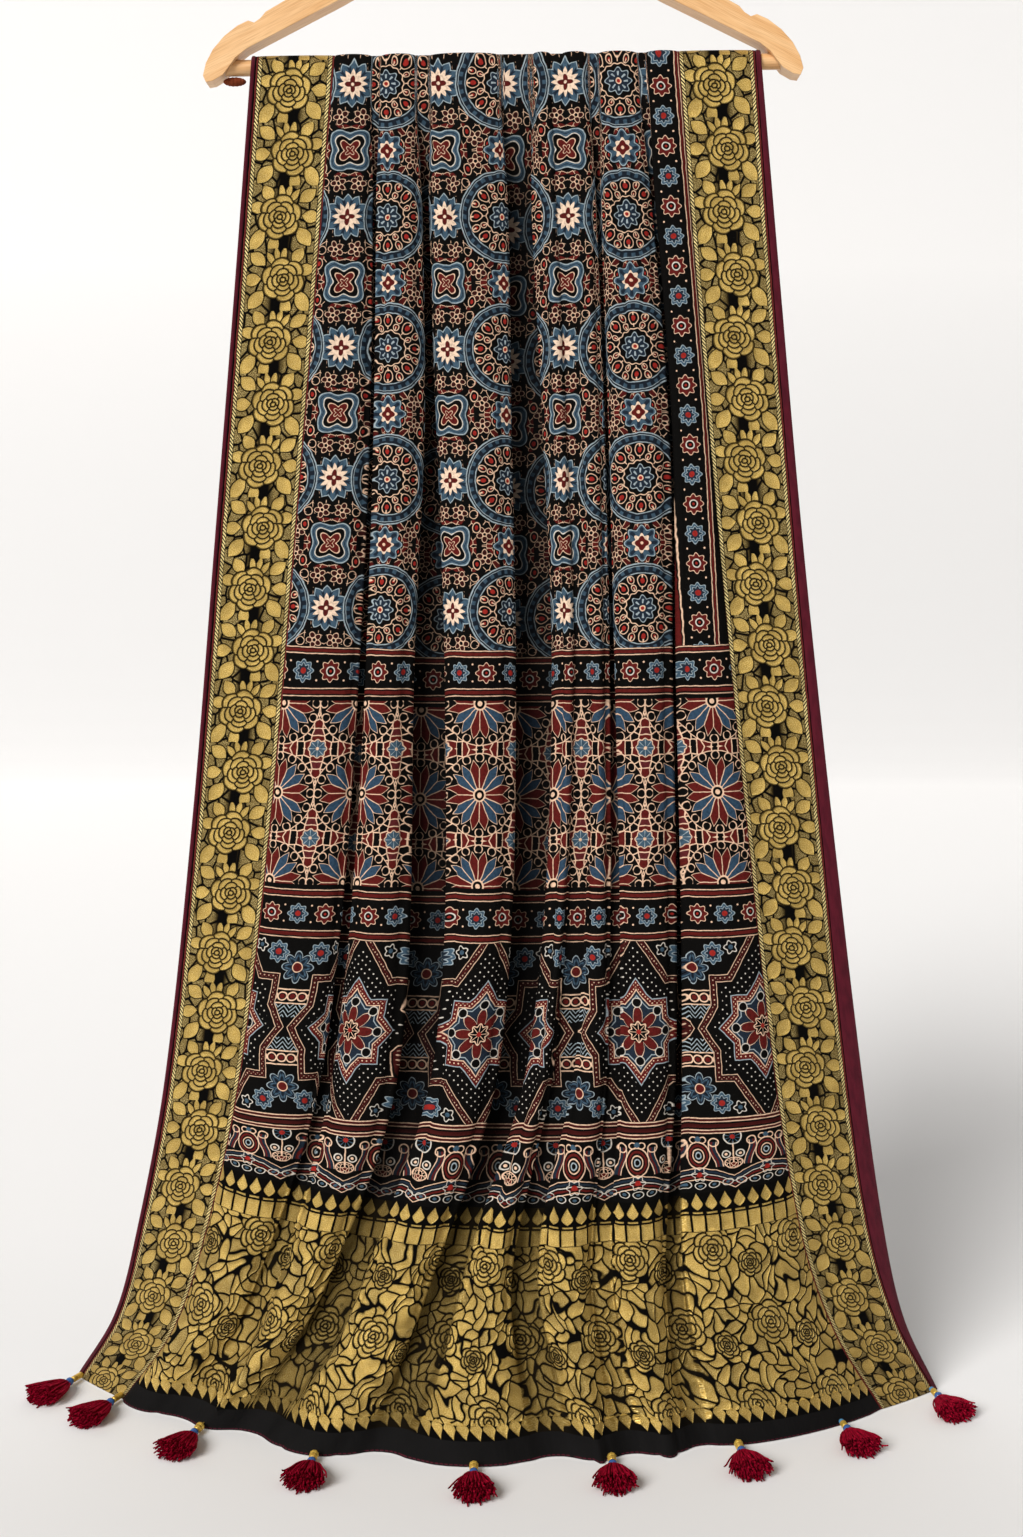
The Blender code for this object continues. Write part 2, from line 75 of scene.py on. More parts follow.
# The main folds: place across the field, half width (both shares) and depth (mm) at each fall
FOLD_FALLS = (0, 0.25, 0.45, 0.72, 0.88, 1)
FOLDS = (
    {
        "at": (0.126, 0.167, 0.176, 0.167, 0.125, 0.085),
        "half": (0.010, 0.012, 0.014, 0.014, 0.014, 0.014),
        "deep": (6, 10, 11, 10, 6, 4),
    },
    {
        "at": (0.260, 0.311, 0.326, 0.332, 0.252, 0.172),
        "half": (0.016, 0.026, 0.040, 0.036, 0.026, 0.022),
        "deep": (9, 19, 22, 20, 15, 11),
    },
    {
        "at": (0.527, 0.550, 0.558, 0.515, 0.413, 0.350),
        "half": (0.036, 0.044, 0.044, 0.032, 0.024, 0.022),
        "deep": (11, 23, 27, 24, 17, 11),
    },
    {
        "at": (0.645, 0.665, 0.665, 0.610, 0.535, 0.570),
        "half": (0.012, 0.012, 0.012, 0.018, 0.020, 0.020),
        "deep": (0, 0, 0, 5, 13, 9),
    },
    {
        "at": (0.751, 0.747, 0.732, 0.700, 0.660, 0.665),
        "half": (0.012, 0.012, 0.012, 0.012, 0.014, 0.014),
        "deep": (6, 10, 10, 5, 4, 6),
    },
    {
        "at": (0.890, 0.905, 0.870, 0.824, 0.777, 0.755),
        "half": (0.010, 0.014, 0.016, 0.014, 0.014, 0.014),
        "deep": (5, 13, 17, 15, 9, 6),
    },
)
FOLD_FLOOR, FOLD_RIM = 0.92, 1.45
# Where the middle of each ridge between the folds lies across the flat print (mm), for the rows from
# a place along the cloth on. Each starts under a plain rule, so no motif is broken
RIDGE_PRINT = (
    (-800, (59, 115, 267, 407, 439, 568, 632)),
    (466, (48, 161, 251, 356, 386, 444, 533)),
    (649, (40, 214, 290, 421, 451, 498, 546)),
    (790, (32, 99, 219, 316, 392, 441, 506)),
)
# A fold's walls tuck under the cloth beside them by a share of its depth, up to so many millimetres
TUCK, TUCK_MOST = 0.36, 6.5
CROWN_FALLS = (0, 0.06, 0.3, 0.6, 0.9, 1)
CROWN = (1.6, 3.0, 5.0, 6.0, 8.0, 6.0)

# Small pleats that die out below the bar: place across the field at the bar, half width, depth in
# millimetres, the fall where each has gone, and how far it drifts by then
PLEATS = (
    {"at": 0.060, "half": 0.012, "deep": 1.6, "gone": 0.30, "drift": 0.015},
    {"at": 0.166, "half": 0.007, "deep": 2.2, "gone": 0.34, "drift": 0.035},
    {"at": 0.206, "half": 0.008, "deep": 1.8, "gone": 0.22, "drift": 0.030},
    {"at": 0.343, "half": 0.008, "deep": 2.4, "gone": 0.30, "drift": 0.030},
    {"at": 0.392, "half": 0.010, "deep": 2.0, "gone": 0.42, "drift": 0.025},
    {"at": 0.455, "half": 0.008, "deep": 1.5, "gone": 0.26, "drift": 0.020},
    {"at": 0.605, "half": 0.008, "deep": 1.6, "gone": 0.30, "drift": 0.010},
    {"at": 0.705, "half": 0.008, "deep": 1.8, "gone": 0.35, "drift": 0.005},
    {"at": 0.800, "half": 0.009, "deep": 2.4, "gone": 0.40, "drift": 0.010},
    {"at": 0.845, "half": 0.007, "deep": 1.8, "gone": 0.24, "drift": 0.012},
)

# Lines of the print as they hang: along the cloth (mm) and the fall at the left, middle and right
PRINT_LINES = {
    "along": (0, 432, 468, 612, 651, 785, 856, 1008, 1030),
    "left": (0, 0.4204, 0.4592, 0.5979, 0.6350, 0.7641, 0.8136, 0.9790, 1),
    "middle": (0, 0.4253, 0.4603, 0.6022, 0.6402, 0.7716, 0.8375, 0.9811, 1),
    "right": (0, 0.4218, 0.4592, 0.6000, 0.6371, 0.7682, 0.8228, 0.9840, 1),
}
# Where each printed or woven band of the front starts, in millimetres along the cloth
BANDS = (
    ("field", 0),
    ("floret_lines", 432),
    ("rosettes", 468),
    ("floret_lines_low", 612),
    ("stars", 651),
    ("triple_line", 785),
    ("arches", 799),
    ("gold_end", 850),
    ("hem", 1012),
)


def smooth(value, low, high):
    """Eases from 0 at low to 1 at high."""
    share = np.clip((value - low) / (high - low), 0.0, 1.0)
    return share * share * (3 - 2 * share)


def through(places, values, at):
    """A smooth curve through values given at places, read at many places."""
    places, values = np.asarray(places, float), np.asarray(values, float)
    slope = np.gradient(values)
    slope[1:-1] = (values[2:] - values[:-2]) / (places[2:] - places[:-2])
    slope[0] = (values[1] - values[0]) / (places[1] - places[0])
    slope[-1] = (values[-1] - values[-2]) / (places[-1] - places[-2])
    at = np.asarray(at, float)
    span = np.clip(np.searchsorted(places, at, side="right") - 1, 0, len(places) - 2)
    width = places[span + 1] - places[span]
    share = (at - places[span]) / width
    square, cube = share**2, share**3
    return (
        (2 * cube - 3 * square + 1) * values[span]
        + (cube - 2 * square + share) * slope[span] * width
        + (3 * square - 2 * cube) * values[span + 1]
        + (cube - square) * slope[span + 1] * width
    )


def placed(name, data):
    """A new object with this data, in the scene."""
    made = bpy.data.objects.new(name, data)
    bpy.context.scene.collection.objects.link(made)
    return made


def drape(name, fall):
    return through(DRAPE["fall"], DRAPE[name], fall) * MM


def fold_value(fold, key, fall):
    return through(FOLD_FALLS, fold[key], fall)


def plan(x, fall):
    """How far forward the smooth drape stands at x, and its slope in the ground plan."""
    left = x < 0
    reach = np.where(left, -drape("left", fall), drape("right", fall))
    power = np.where(left, ARC_LEFT, ARC_RIGHT)
    rim = np.where(left, drape("rim_left", fall), drape("rim_right", fall))
    middle = drape("middle", fall)
    share = np.abs(x) / reach
    slope = (rim - middle) * power * share ** (power - 1) / reach
    return middle + (rim - middle) * share**power, np.where(left, -slope, slope)


def border_edge(side, fall):
    """The outer edge of a border, inside its binding."""
    if side == "left":
        return drape("left", fall) + BINDING_LEFT
    return drape("right", fall)


def field_edge(side, fall):
    """Where the printed field meets the border, which keeps its width on the arc."""
    outer = border_edge(side, fall)
    width = BORDER_LEFT if side == "left" else BORDER_RIGHT
    toward = 1 if side == "left" else -1
    x = outer + toward * width
    for _ in range(4):
        x = outer + toward * width / np.hypot(1, plan((outer + x) / 2, fall)[1])
    return x


def relief(w, fall):
    """How far the field stands proud of the smooth drape, how far its folds tuck a point sideways,
    and how deep in a fold it lies, from 0 to 1."""
    sunk, tuck = np.zeros_like(w), np.zeros_like(w)
    opens = smooth(fall, 0.0, 0.10)
    eases = smooth(fall, 0.90, 1.0)
    floor, rim = FOLD_FLOOR - 0.75 * eases, FOLD_RIM + 1.0 * eases
    walls = [np.zeros_like(w)]
    for fold in FOLDS:
        at, half, deep = (fold_value(fold, key, fall) for key in ("at", "half", "deep"))
        up = np.clip((np.abs(w - at) / half - floor) / (rim - floor), 0, 1)
        sunk = sunk + deep * (1 - smooth(up, 0, 1))
        tuck = tuck + np.sign(w - at) * np.sin(2 * math.pi * up) * np.minimum(TUCK * deep, TUCK_MOST)
        walls += [at - half * rim, at + half * rim]
    walls.append(np.ones_like(w))
    crown = np.zeros_like(w)
    for start, end in zip(walls[::2], walls[1::2]):
        share = 2 * (w - start) / (end - start) - 1
        crown = np.where((start < w) & (w < end), np.clip(1 - share * share, 0, 1) ** 0.6, crown)
    for pleat in PLEATS:
        fades = 1 - smooth(fall, pleat["gone"] * 0.4, pleat["gone"])
        at = pleat["at"] + pleat["drift"] * fall / pleat["gone"]
        sunk = sunk + pleat["deep"] * fades * np.exp(-(((w - at) / pleat["half"]) ** 2))
    proud = crown * through(CROWN_FALLS, CROWN, fall) - sunk * opens
    tuck = tuck * opens * (1 - smooth(fall, 0.80, 0.97) * 0.85)
    return proud * MM, tuck * MM, np.clip(sunk / 15, 0, 1) * opens


def front(x, w, fall, proud=0.0):
    """Points of the front. w is the place across the field, or None on a border."""
    if w is not None:
        fold, tuck, _ = relief(w, fall)
        x, proud = x + tuck, proud + fold
    forward, slope = plan(x, fall)
    length = np.hypot(1, slope)
    drop = fall * (FLOOR_BELOW_BAR - HEM_LIFT)
    rise = math.tan(TILT) * x * (1 - fall)
    return np.stack(
        (BAR_X + x + proud * slope / length, forward - proud / length, -SEAT_ABOVE_BAR - drop + rise),
        axis=-1,
    )


def over_bar(x, w, angle, proud=0.0):
    """Points where the cloth passes over the bar: angle 0 is the front, pi the back."""
    if w is not None:
        proud = proud + relief(w, np.zeros_like(w))[0]
    radius = OVER_BAR + proud
    rise = math.tan(TILT) * x
    return np.stack(
        (BAR_X + x, -radius * np.cos(angle), -SEAT_ABOVE_BAR + rise + radius * np.sin(angle)),
        axis=-1,
    )


def behind(x, w, share, proud=0.0):
    """Points of the fall behind the bar, where share 1 is its lower end."""
    if w is not None:
        fold, tuck, _ = relief(w, 0.25 * share)
        x, proud = x + tuck, proud + fold * 0.55
    rise = math.tan(TILT) * x * (1 - share)
    y = OVER_BAR + np.maximum(proud, 0) + 3 * MM * share
    return np.stack((BAR_X + x, y, -SEAT_ABOVE_BAR - share * BACK_FALL + rise), axis=-1)


def fall_of(along, w):
    """The fall that a line of the print hangs at, w across the field. It hangs lower in a fold."""
    left, middle, right = (
        through(PRINT_LINES["along"], PRINT_LINES[side], along) for side in ("left", "middle", "right")
    )
    side = 2 * w - 1
    fall = middle + np.where(side < 0, left - middle, right - middle) * np.abs(side) ** 1.7
    lag = relief(w, np.clip(fall, 0, 1))[2] * 0.0070
    return np.clip(fall + lag * (1 - smooth(fall, 0.9, 0.98)), 0, 1)


WALL_COLUMNS = (0.5, 0.88, 0.96, 1.03, 1.09, 1.15, 1.21, 1.27, 1.33, 1.39, 1.45, 1.5)
WALL_COLUMNS = tuple(-k for k in WALL_COLUMNS[::-1]) + (0.0,) + WALL_COLUMNS
RIDGE_COLUMNS = (11, 9, 16, 9, 8, 12, 10)


def field_columns(fall):
    """Places across the field for each fall in an array: close together on the walls of folds."""
    columns = []
    start = np.zeros_like(fall)
    for fold, count in zip(FOLDS, RIDGE_COLUMNS):
        at, half = fold_value(fold, "at", fall), fold_value(fold, "half", fall)
        end = at + half * WALL_COLUMNS[0]
        columns += [start + (end - start) * k / count for k in range(count)]
        columns += [at + half * k for k in WALL_COLUMNS]
        start = columns.pop()
    count = RIDGE_COLUMNS[-1]
    columns += [start + (1 - start) * k / count for k in range(count + 1)]
    return np.stack(columns, axis=-1)


def field_sheet():
    """The whole field: points, cloth coordinates and depth in the folds, as rows along the cloth."""
    along = [0.0]
    starts = [start for _, start in BANDS[1:]] + [PRINT_LINES["along"][-1]]
    for start in starts:
        count = max(1, round((start - along[-1]) / 3.6))
        along += list(np.linspace(along[-1], start, count + 1)[1:])
    rows = []
    back_along = np.linspace(-BACK_FALL / MM, -14, 52)
    for place in back_along:
        share = (-place - 12) / (BACK_FALL / MM - 12)
        fall = np.full(1, 0.25 * share)
        w = field_columns(fall)[0]
        left, right = field_edge("left", 0.2 * share), field_edge("right", 0.2 * share)
        x = left + w * (right - left)
        rows.append((place, behind(x, w, share), w, fall * np.ones_like(w)))
    w = field_columns(np.zeros(1))[0]
    left, right = field_edge("left", 0.0), field_edge("right", 0.0)
    x = left + w * (right - left)
    for angle in np.linspace(math.pi, 0, 9)[:-1]:
        rows.append((-12 * angle / math.pi, over_bar(x, w, angle), w, np.zeros_like(w)))
    for place in along:
        w = field_columns(np.full(1, float(through(PRINT_LINES["along"], PRINT_LINES["middle"], place))))[0]
        for _ in range(3):
            fall = fall_of(np.full_like(w, place), w)
            table = field_columns(fall)
            w = table[np.arange(len(w)), np.arange(len(w))]
        left, right = field_edge("left", fall), field_edge("right", fall)
        x = left + w * (right - left)
        rows.append((place, front(x, w, fall), w, fall))
    points = np.stack([row[1] for row in rows])
    w = np.stack([row[2] for row in rows])
    fall = np.stack([row[3] for row in rows])
    # The print keeps its place on every ridge all the way down. The folds between take up the rest
    steps = np.linalg.norm(points[:, 1:] - points[:, :-1], axis=2) / MM
    middle_w, middle_fall = (w[:, 1:] + w[:, :-1]) / 2, (fall[:, 1:] + fall[:, :-1]) / 2
    ends = [np.zeros(len(rows))] + [fold_value(fold, "at", fall).mean(axis=1) for fold in FOLDS]
    ends.append(np.ones(len(rows)))
    tops = [(left + right) / 2 for left, right in zip(ends[:-1], ends[1:])]
    run = np.concatenate((np.zeros((len(rows), 1)), np.cumsum(steps, axis=1)), axis=1)
    at_top = np.stack([[np.interp(top[k], w[k], run[k]) for k in range(len(rows))] for top in tops])
    starts = [start for start, _ in RIDGE_PRINT]
    prints = np.array([RIDGE_PRINT[np.searchsorted(starts, row[0], "right") - 1][1] for row in rows])
    taken = np.zeros(len(rows))
    for number, fold in enumerate(FOLDS):
        away = np.abs(middle_w - fold_value(fold, "at", middle_fall)) / fold_value(fold, "half", middle_fall)
        zone = smooth(away, 0.86, 0.98) * (1 - smooth(away, 1.36, 1.5))
        spare = prints[:, number + 1] - prints[:, 0] - (at_top[number + 1] - at_top[0]) - taken
        held = (zone * steps).sum(axis=1)
        deep = fold_value(fold, "deep", fall.mean(axis=1))
        grows = 1 + (np.maximum(1 + spare / held, 0.10) - 1) * smooth(deep, 2.0, 5.0)
        steps = steps * (1 + zone * (grows[:, None] - 1))
        taken = taken + held * (grows - 1)
    across = np.concatenate((np.zeros((len(rows), 1)), np.cumsum(steps, axis=1)), axis=1)
    right_top = np.array([np.interp(tops[-1][k], w[k], across[k]) for k in range(len(rows))])
    across = across + (prints[:, -1] - right_top)[:, None]
    length = np.repeat(np.array([row[0] for row in rows])[:, None], w.shape[1], axis=1)
    return points, across * MM, length * MM, relief(w, fall)[2]


def strip_sheet(outer, inner, columns, proud, round_edge=0.0):
    """A border or binding between two edges: points and cloth coordinates, as rows along it."""
    share = np.linspace(0, 1, columns)
    puff = proud + round_edge * np.sqrt(np.clip(1 - (2 * share - 1) ** 2, 0, 1))
    rows = []
    for back in np.linspace(1, 0.016, 60):
        a, b = outer(0.2 * back), inner(0.2 * back)
        rows.append(behind(a + (b - a) * share, None, back, puff))
    a, b = outer(0.0), inner(0.0)
    for angle in np.linspace(math.pi, 0, 9)[:-1]:
        rows.append(over_bar(a + (b - a) * share, None, angle, puff))
    for fall in np.linspace(0, 1, 330):
        a, b = outer(fall), inner(fall)
        rows.append(front(a + (b - a) * share, None, np.full(columns, fall), puff))
    points = np.stack(rows)
    middle = points[:, columns // 2]
    along = np.concatenate(([0], np.cumsum(np.linalg.norm(middle[1:] - middle[:-1], axis=1))))
    along = np.repeat((along - along[60])[:, None], columns, axis=1)
    steps = np.linalg.norm(points[:, 1:] - points[:, :-1], axis=2)
    across = np.concatenate((np.zeros((len(rows), 1)), np.cumsum(steps, axis=1)), axis=1)
    return points, across - across[:, -1:] / 2, along


def sheet_mesh(name, points, across, along, extra=None):
    """A grid of points as a smooth mesh with the weave map and, where given, a depth value."""
    rows, columns = points.shape[:2]
    index = np.arange(rows * columns).reshape(rows, columns)
    faces = np.stack((index[:-1, :-1], index[:-1, 1:], index[1:, 1:], index[1:, :-1]), axis=-1).reshape(-1, 4)
    mesh = bpy.data.meshes.new(name)
    mesh.from_pydata(points.reshape(-1, 3).tolist(), [], faces.tolist())
    weave = mesh.uv_layers.new(name="weave")
    flat = np.stack((across.reshape(-1), along.reshape(-1)), axis=-1)[faces.reshape(-1)]
    weave.data.foreach_set("uv", flat.reshape(-1).astype(np.float32))
    if extra is not None:
        depth = mesh.attributes.new("depth", "FLOAT", "POINT")
        depth.data.foreach_set("value", extra.reshape(-1).astype(np.float32))
    mesh.polygons.foreach_set("use_smooth", np.ones(len(faces), bool))
    mesh.update()
    return placed(name, mesh)


class Ink:
    """A number worked out at each point of a material, with ordinary arithmetic on it."""

    def __init__(self, tree, socket):
        self.tree, self.socket = tree, socket

    def math(self, kind, *others, clamp=False, first=None):
        """A math node on this number. first, where given, is a plain number that comes before it."""
        values = (self, *others) if first is None else (first, self, *others)
        node = self.tree.nodes.new("ShaderNodeMath")
        node.operation, node.use_clamp = kind, clamp
        for socket, value in zip(node.inputs, values):
            if isinstance(value, Ink):
                self.tree.links.new(value.socket, socket)
            else:
                socket.default_value = value
        return Ink(self.tree, node.outputs[0])

    def __add__(self, other):
        return self.math("ADD", other)

    def __sub__(self, other):
        return self.math("SUBTRACT", other)

    def __rsub__(self, other):
        return self.math("SUBTRACT", first=other)

    def __mul__(self, other):
        return self.math("MULTIPLY", other)

    def __truediv__(self, other):
        return self.math("DIVIDE", other)

    def __abs__(self):
        return self.math("ABSOLUTE")

    def low(self, other):
        return self.math("MINIMUM", other)

    def high(self, other):
        return self.math("MAXIMUM", other)

    def cos(self):
        return self.math("COSINE")

    def sin(self):
        return self.math("SINE")

    def climb(self, slope):
        """A mask that rises from 0 at zero by slope, to 1 at most."""
        return self.math("MULTIPLY", slope, clamp=True)

    def wrap(self, pitch):
        """The signed distance from the nearest multiple of pitch."""
        return self.math("WRAP", pitch / 2, -pitch / 2)

    def turn(self, pitch):
        """0 for even multiples of pitch and 1 for odd ones, by the nearest."""
        return (self / pitch + 0.5).math("FLOOR").math("FLOORED_MODULO", 2.0)

    def zig(self, pitch):
        """A zigzag: 0 at multiples of pitch and 1 halfway between."""
        return (self / pitch).math("PINGPONG", 0.5) * 2.0

    def inside(self, soft=0.35):
        """A mask, 1 where this distance is below zero."""
        return self.math("MULTIPLY_ADD", -1.0 / soft, 0.5, clamp=True)

    def line(self, half=0.45, soft=0.35):
        """A mask, 1 within half of where this distance is zero."""
        return (abs(self) - half).inside(soft)

    def over(self, value, soft=0.35):
        """A mask, 1 where this number is above value."""
        return (value - self).inside(soft)


def polar(x, y):
    return (x * x + y * y).math("SQRT"), y.math("ARCTAN2", x)


class Cloth:
    """A cloth material being built: its ground, what is laid over it, and its relief."""

    def __init__(self, name, ground, solid=False):
        self.material = bpy.data.materials.new(name)
        self.material.use_nodes = True
        self.tree = self.material.node_tree
        self.shader = self.tree.nodes["Principled BSDF"]
        self.colour = ground
        if solid:
            place = self.tree.nodes.new("ShaderNodeTexCoord").outputs["Object"]
        else:
            weave = self.tree.nodes.new("ShaderNodeUVMap")
            weave.uv_map = "weave"
            place = weave.outputs["UV"]
        parts = self.tree.nodes.new("ShaderNodeSeparateXYZ")
        self.tree.links.new(place, parts.inputs[0])
        self.x, self.y, self.z = (Ink(self.tree, parts.outputs[name]) * 1000.0 for name in "XYZ")

    def at(self, x, y):
        """A vector from two numbers."""
        node = self.tree.nodes.new("ShaderNodeCombineXYZ")
        for socket, value in zip(node.inputs, (x, y)):
            self.tree.links.new(value.socket, socket)
        return node.outputs[0]

    def noise(self, x, y, detail=2.0):
        """Cloudy values around 0.5, about one unit across."""
        node = self.tree.nodes.new("ShaderNodeTexNoise")
        node.noise_dimensions = "2D"
        node.inputs["Scale"].default_value = 1.0
        node.inputs["Detail"].default_value = detail
        self.tree.links.new(self.at(x, y), node.inputs["Vector"])
        return Ink(self.tree, node.outputs[0])

    def cells(self, x, y, random=0.8):
        """Uneven cells one unit across: the distance to their edges, two numbers for each cell, and the
        distance from its middle."""
        place = self.at(x, y)
        found = []
        for feature in ("DISTANCE_TO_EDGE", "F1"):
            node = self.tree.nodes.new("ShaderNodeTexVoronoi")
            node.voronoi_dimensions, node.feature = "2D", feature
            node.inputs["Scale"].default_value = 1.0
            node.inputs["Randomness"].default_value = random
            self.tree.links.new(place, node.inputs["Vector"])
            found.append(node)
        split = self.tree.nodes.new("ShaderNodeSeparateColor")
        self.tree.links.new(found[1].outputs["Color"], split.inputs[0])
        return (
            Ink(self.tree, found[0].outputs["Distance"]),
            Ink(self.tree, split.outputs[0]),
            Ink(self.tree, split.outputs[1]),
            Ink(self.tree, found[1].outputs["Distance"]),
        )

    def mix(self, mask, below, above):
        node = self.tree.nodes.new("ShaderNodeMix")
        node.data_type = "RGBA"
        self.tree.links.new(mask.socket, node.inputs["Factor"])
        for name, value in (("A", below), ("B", above)):
            socket = next(s for s in node.inputs if s.name == name and s.type == "RGBA")
            if isinstance(value, tuple):
                socket.default_value = (*value, 1)
            else:
                self.tree.links.new(value, socket)
        return next(s for s in node.outputs if s.type == "RGBA")

    def lay(self, mask, colour):
        self.colour = self.mix(mask, self.colour, colour)

    def paint(self, distance, *steps):
        """Lays inks by a distance: (reach, ink) fills within the reach, (reach, half, ink) draws a line."""
        for reach, *half, ink in steps:
            place = distance - reach if reach else distance
            self.lay(place.line(*half) if half else place.inside(), ink)

    def finish(self, height, depth, roughness, metallic=0.0, specular=0.05, sheen=0.0):
        """Links the colour and a relief in millimetres, and sets how the cloth shines."""
        if isinstance(self.colour, tuple):
            self.shader.inputs["Base Color"].default_value = (*self.colour, 1)
        else:
            self.tree.links.new(self.colour, self.shader.inputs["Base Color"])
        bump = self.tree.nodes.new("ShaderNodeBump")
        bump.inputs["Distance"].default_value = depth * MM
        bump.inputs["Strength"].default_value = 1.0
        self.tree.links.new(height.socket, bump.inputs["Height"])
        self.tree.links.new(bump.outputs[0], self.shader.inputs["Normal"])
        for name, value in (
            ("Roughness", roughness),
            ("Metallic", metallic),
            ("Specular IOR Level", specular),
            ("Sheen Weight", sheen),
        ):
            if isinstance(value, Ink):
                self.tree.links.new(value.socket, self.shader.inputs[name])
            else:
                self.shader.inputs[name].default_value = value
        return self.material


def rgb(red, green, blue):
    """A colour as seen, 0 to 255, in the linear form that the shaders use."""
    return tuple(
        (v / 255 / 12.92) if v <= 10 else ((v / 255 + 0.055) / 1.055) ** 2.4 for v in (red, green, blue)
    )


BLACK = rgb(8, 7, 6)
RED = rgb(88, 25, 22)
BRIGHT_RED = rgb(146, 38, 32)
BLUE = rgb(62, 84, 100)
DEEP_BLUE = rgb(30, 40, 52)
PALE_BLUE = rgb(154, 167, 172)
CREAM = rgb(228, 190, 160)
LIGHT = rgb(206, 198, 186)
PEACH = rgb(232, 204, 178)
# Painted shade: how far the print is darkened toward near-black at the bottom of a fold
FOLD_PAINTED_SHADE = 0.74


def thread_relief(cloth, pitch=0.9):
    """The over and under of a plain weave, as a number around 0."""
    turn = 2 * math.pi / pitch
    return (cloth.x * turn).sin() * (cloth.y * turn).sin()


def floret(cloth, x, y, odd, size=8.0):
    """Blue florets and red ones by turns, outlined in cream."""
    radius, angle = polar(x, y)
    lobes = (angle * 8.0).cos()
    edge = radius - (lobes * 0.12 + 0.86) * size
    inner = radius - (lobes * 0.10 + 0.56) * size
    blue = 1.0 - odd
    cloth.lay(edge.inside() * blue, BLUE)
    cloth.lay(edge.inside() * odd, RED)
    cloth.lay((edge + 0.1).line(0.3) * blue, PALE_BLUE)
    cloth.lay((edge + 0.1).line(0.3) * odd, CREAM)
    cloth.lay(inner.inside() * blue, DEEP_BLUE)
    cloth.lay(inner.line(0.28) * blue, PALE_BLUE)
    cloth.lay((radius - size * 0.40).inside() * odd, BLACK)
    cloth.lay((radius - size * 0.36).line(0.42) * odd, LIGHT)
    cloth.lay((radius - size * 0.26).inside() * blue, BRIGHT_RED)
    cloth.lay((radius - size * 0.12).inside() * odd, BRIGHT_RED)


def floret_row(cloth, run, off, pitch=20.5, size=8.0, half=9.3):
    """A row of florets along one direction, with pairs of dots between them."""
    floret(cloth, run.wrap(pitch), off, run.turn(pitch), size)
    between = (run + pitch / 2).wrap(pitch)
    spread = abs(off) - half * 0.66
    cloth.paint(polar(between, spread)[0], (0.7, CREAM))


def rule(cloth, off, wide):
    """A red strip with cream edges, running where off is 0."""
    cloth.lay((abs(off) - wide / 2).inside(), BLACK)
    cloth.lay((abs(off) - wide * 0.20).inside(), RED)
    cloth.paint(abs(off) - wide / 2, (-0.6, 0.34, CREAM))


def net(cloth, x, y, size, lines, red=0.7, blue=2.0, where=None):
    """Mosaic cells between cream lines, some of them red or blue."""
    edge, first, second, _ = cloth.cells(x / size, y / size)
    keep = (lambda mask: mask) if where is None else (lambda mask: mask * where)
    cloth.lay(keep(first.over(red, 0.02)), RED)
    if blue < 1:
        cloth.lay(keep(second.over(blue, 0.02)), BLUE)
    cloth.lay(keep((edge - lines).inside(0.05)), CREAM)


def printed(cloth):
    """Finishes a printed cloth: slightly uneven dye, painted shade in the folds, with its weave."""
    depth = cloth.tree.nodes.new("ShaderNodeAttribute")
    depth.attribute_name = "depth"
    deep = Ink(cloth.tree, depth.outputs["Fac"])
    cloud = cloth.noise(cloth.x / 2.2, cloth.y / 2.2, 3.0)
    cloth.lay(cloud.over(0.56, 0.25) * 0.30, BLACK)
    # Painted shade: the print is darkened toward near-black by how deep in a fold it lies
    cloth.lay(deep * FOLD_PAINTED_SHADE, rgb(5, 4, 4))
    ripple = cloth.noise(cloth.x / 9.0, cloth.y / 60.0)
    relief = thread_relief(cloth) * 0.10 + ripple * 1.6 + cloud * 0.25
    return cloth.finish(relief, 0.5, 0.8)


def wobble(cloth, amount=0.5, size=7.0):
    """Moves the print a little, as hand blocks do."""
    one = cloth.noise(cloth.x / size, cloth.y / size, 1.0)
    two = cloth.noise(cloth.x / size + 40.0, cloth.y / size + 7.0, 1.0)
    return cloth.x + (one - 0.5) * (2 * amount), cloth.y + (two - 0.5) * (2 * amount)


def cluster(cloth, x, y, size, turned=0.0):
    """A small flower of round red cells, each in a cream line, about a sixth."""
    radius, angle = polar(x, y)
    around = (angle + turned).wrap(2 * math.pi / 5)
    cell = polar(around * radius.high(size * 0.45), (radius - size * 0.62) * 0.9)[0] - size * 0.33
    cloth.lay((radius - size).inside(), BLACK)
    cloth.paint(cell, (0, rgb(50, 18, 16)), (0, 0.22, CREAM))
    cloth.lay((radius - size * 0.26).line(0.24), CREAM)


def bud(cloth, x, y, size, tall=0.75):
    """A drop with a red heart."""
    drop = polar(x, y * tall)[0] - size
    cloth.paint(drop, (0.7, BLACK))
    cloth.lay((drop + size * 0.55).inside(), BRIGHT_RED)
    cloth.paint(drop, (0, 0.26, CREAM))


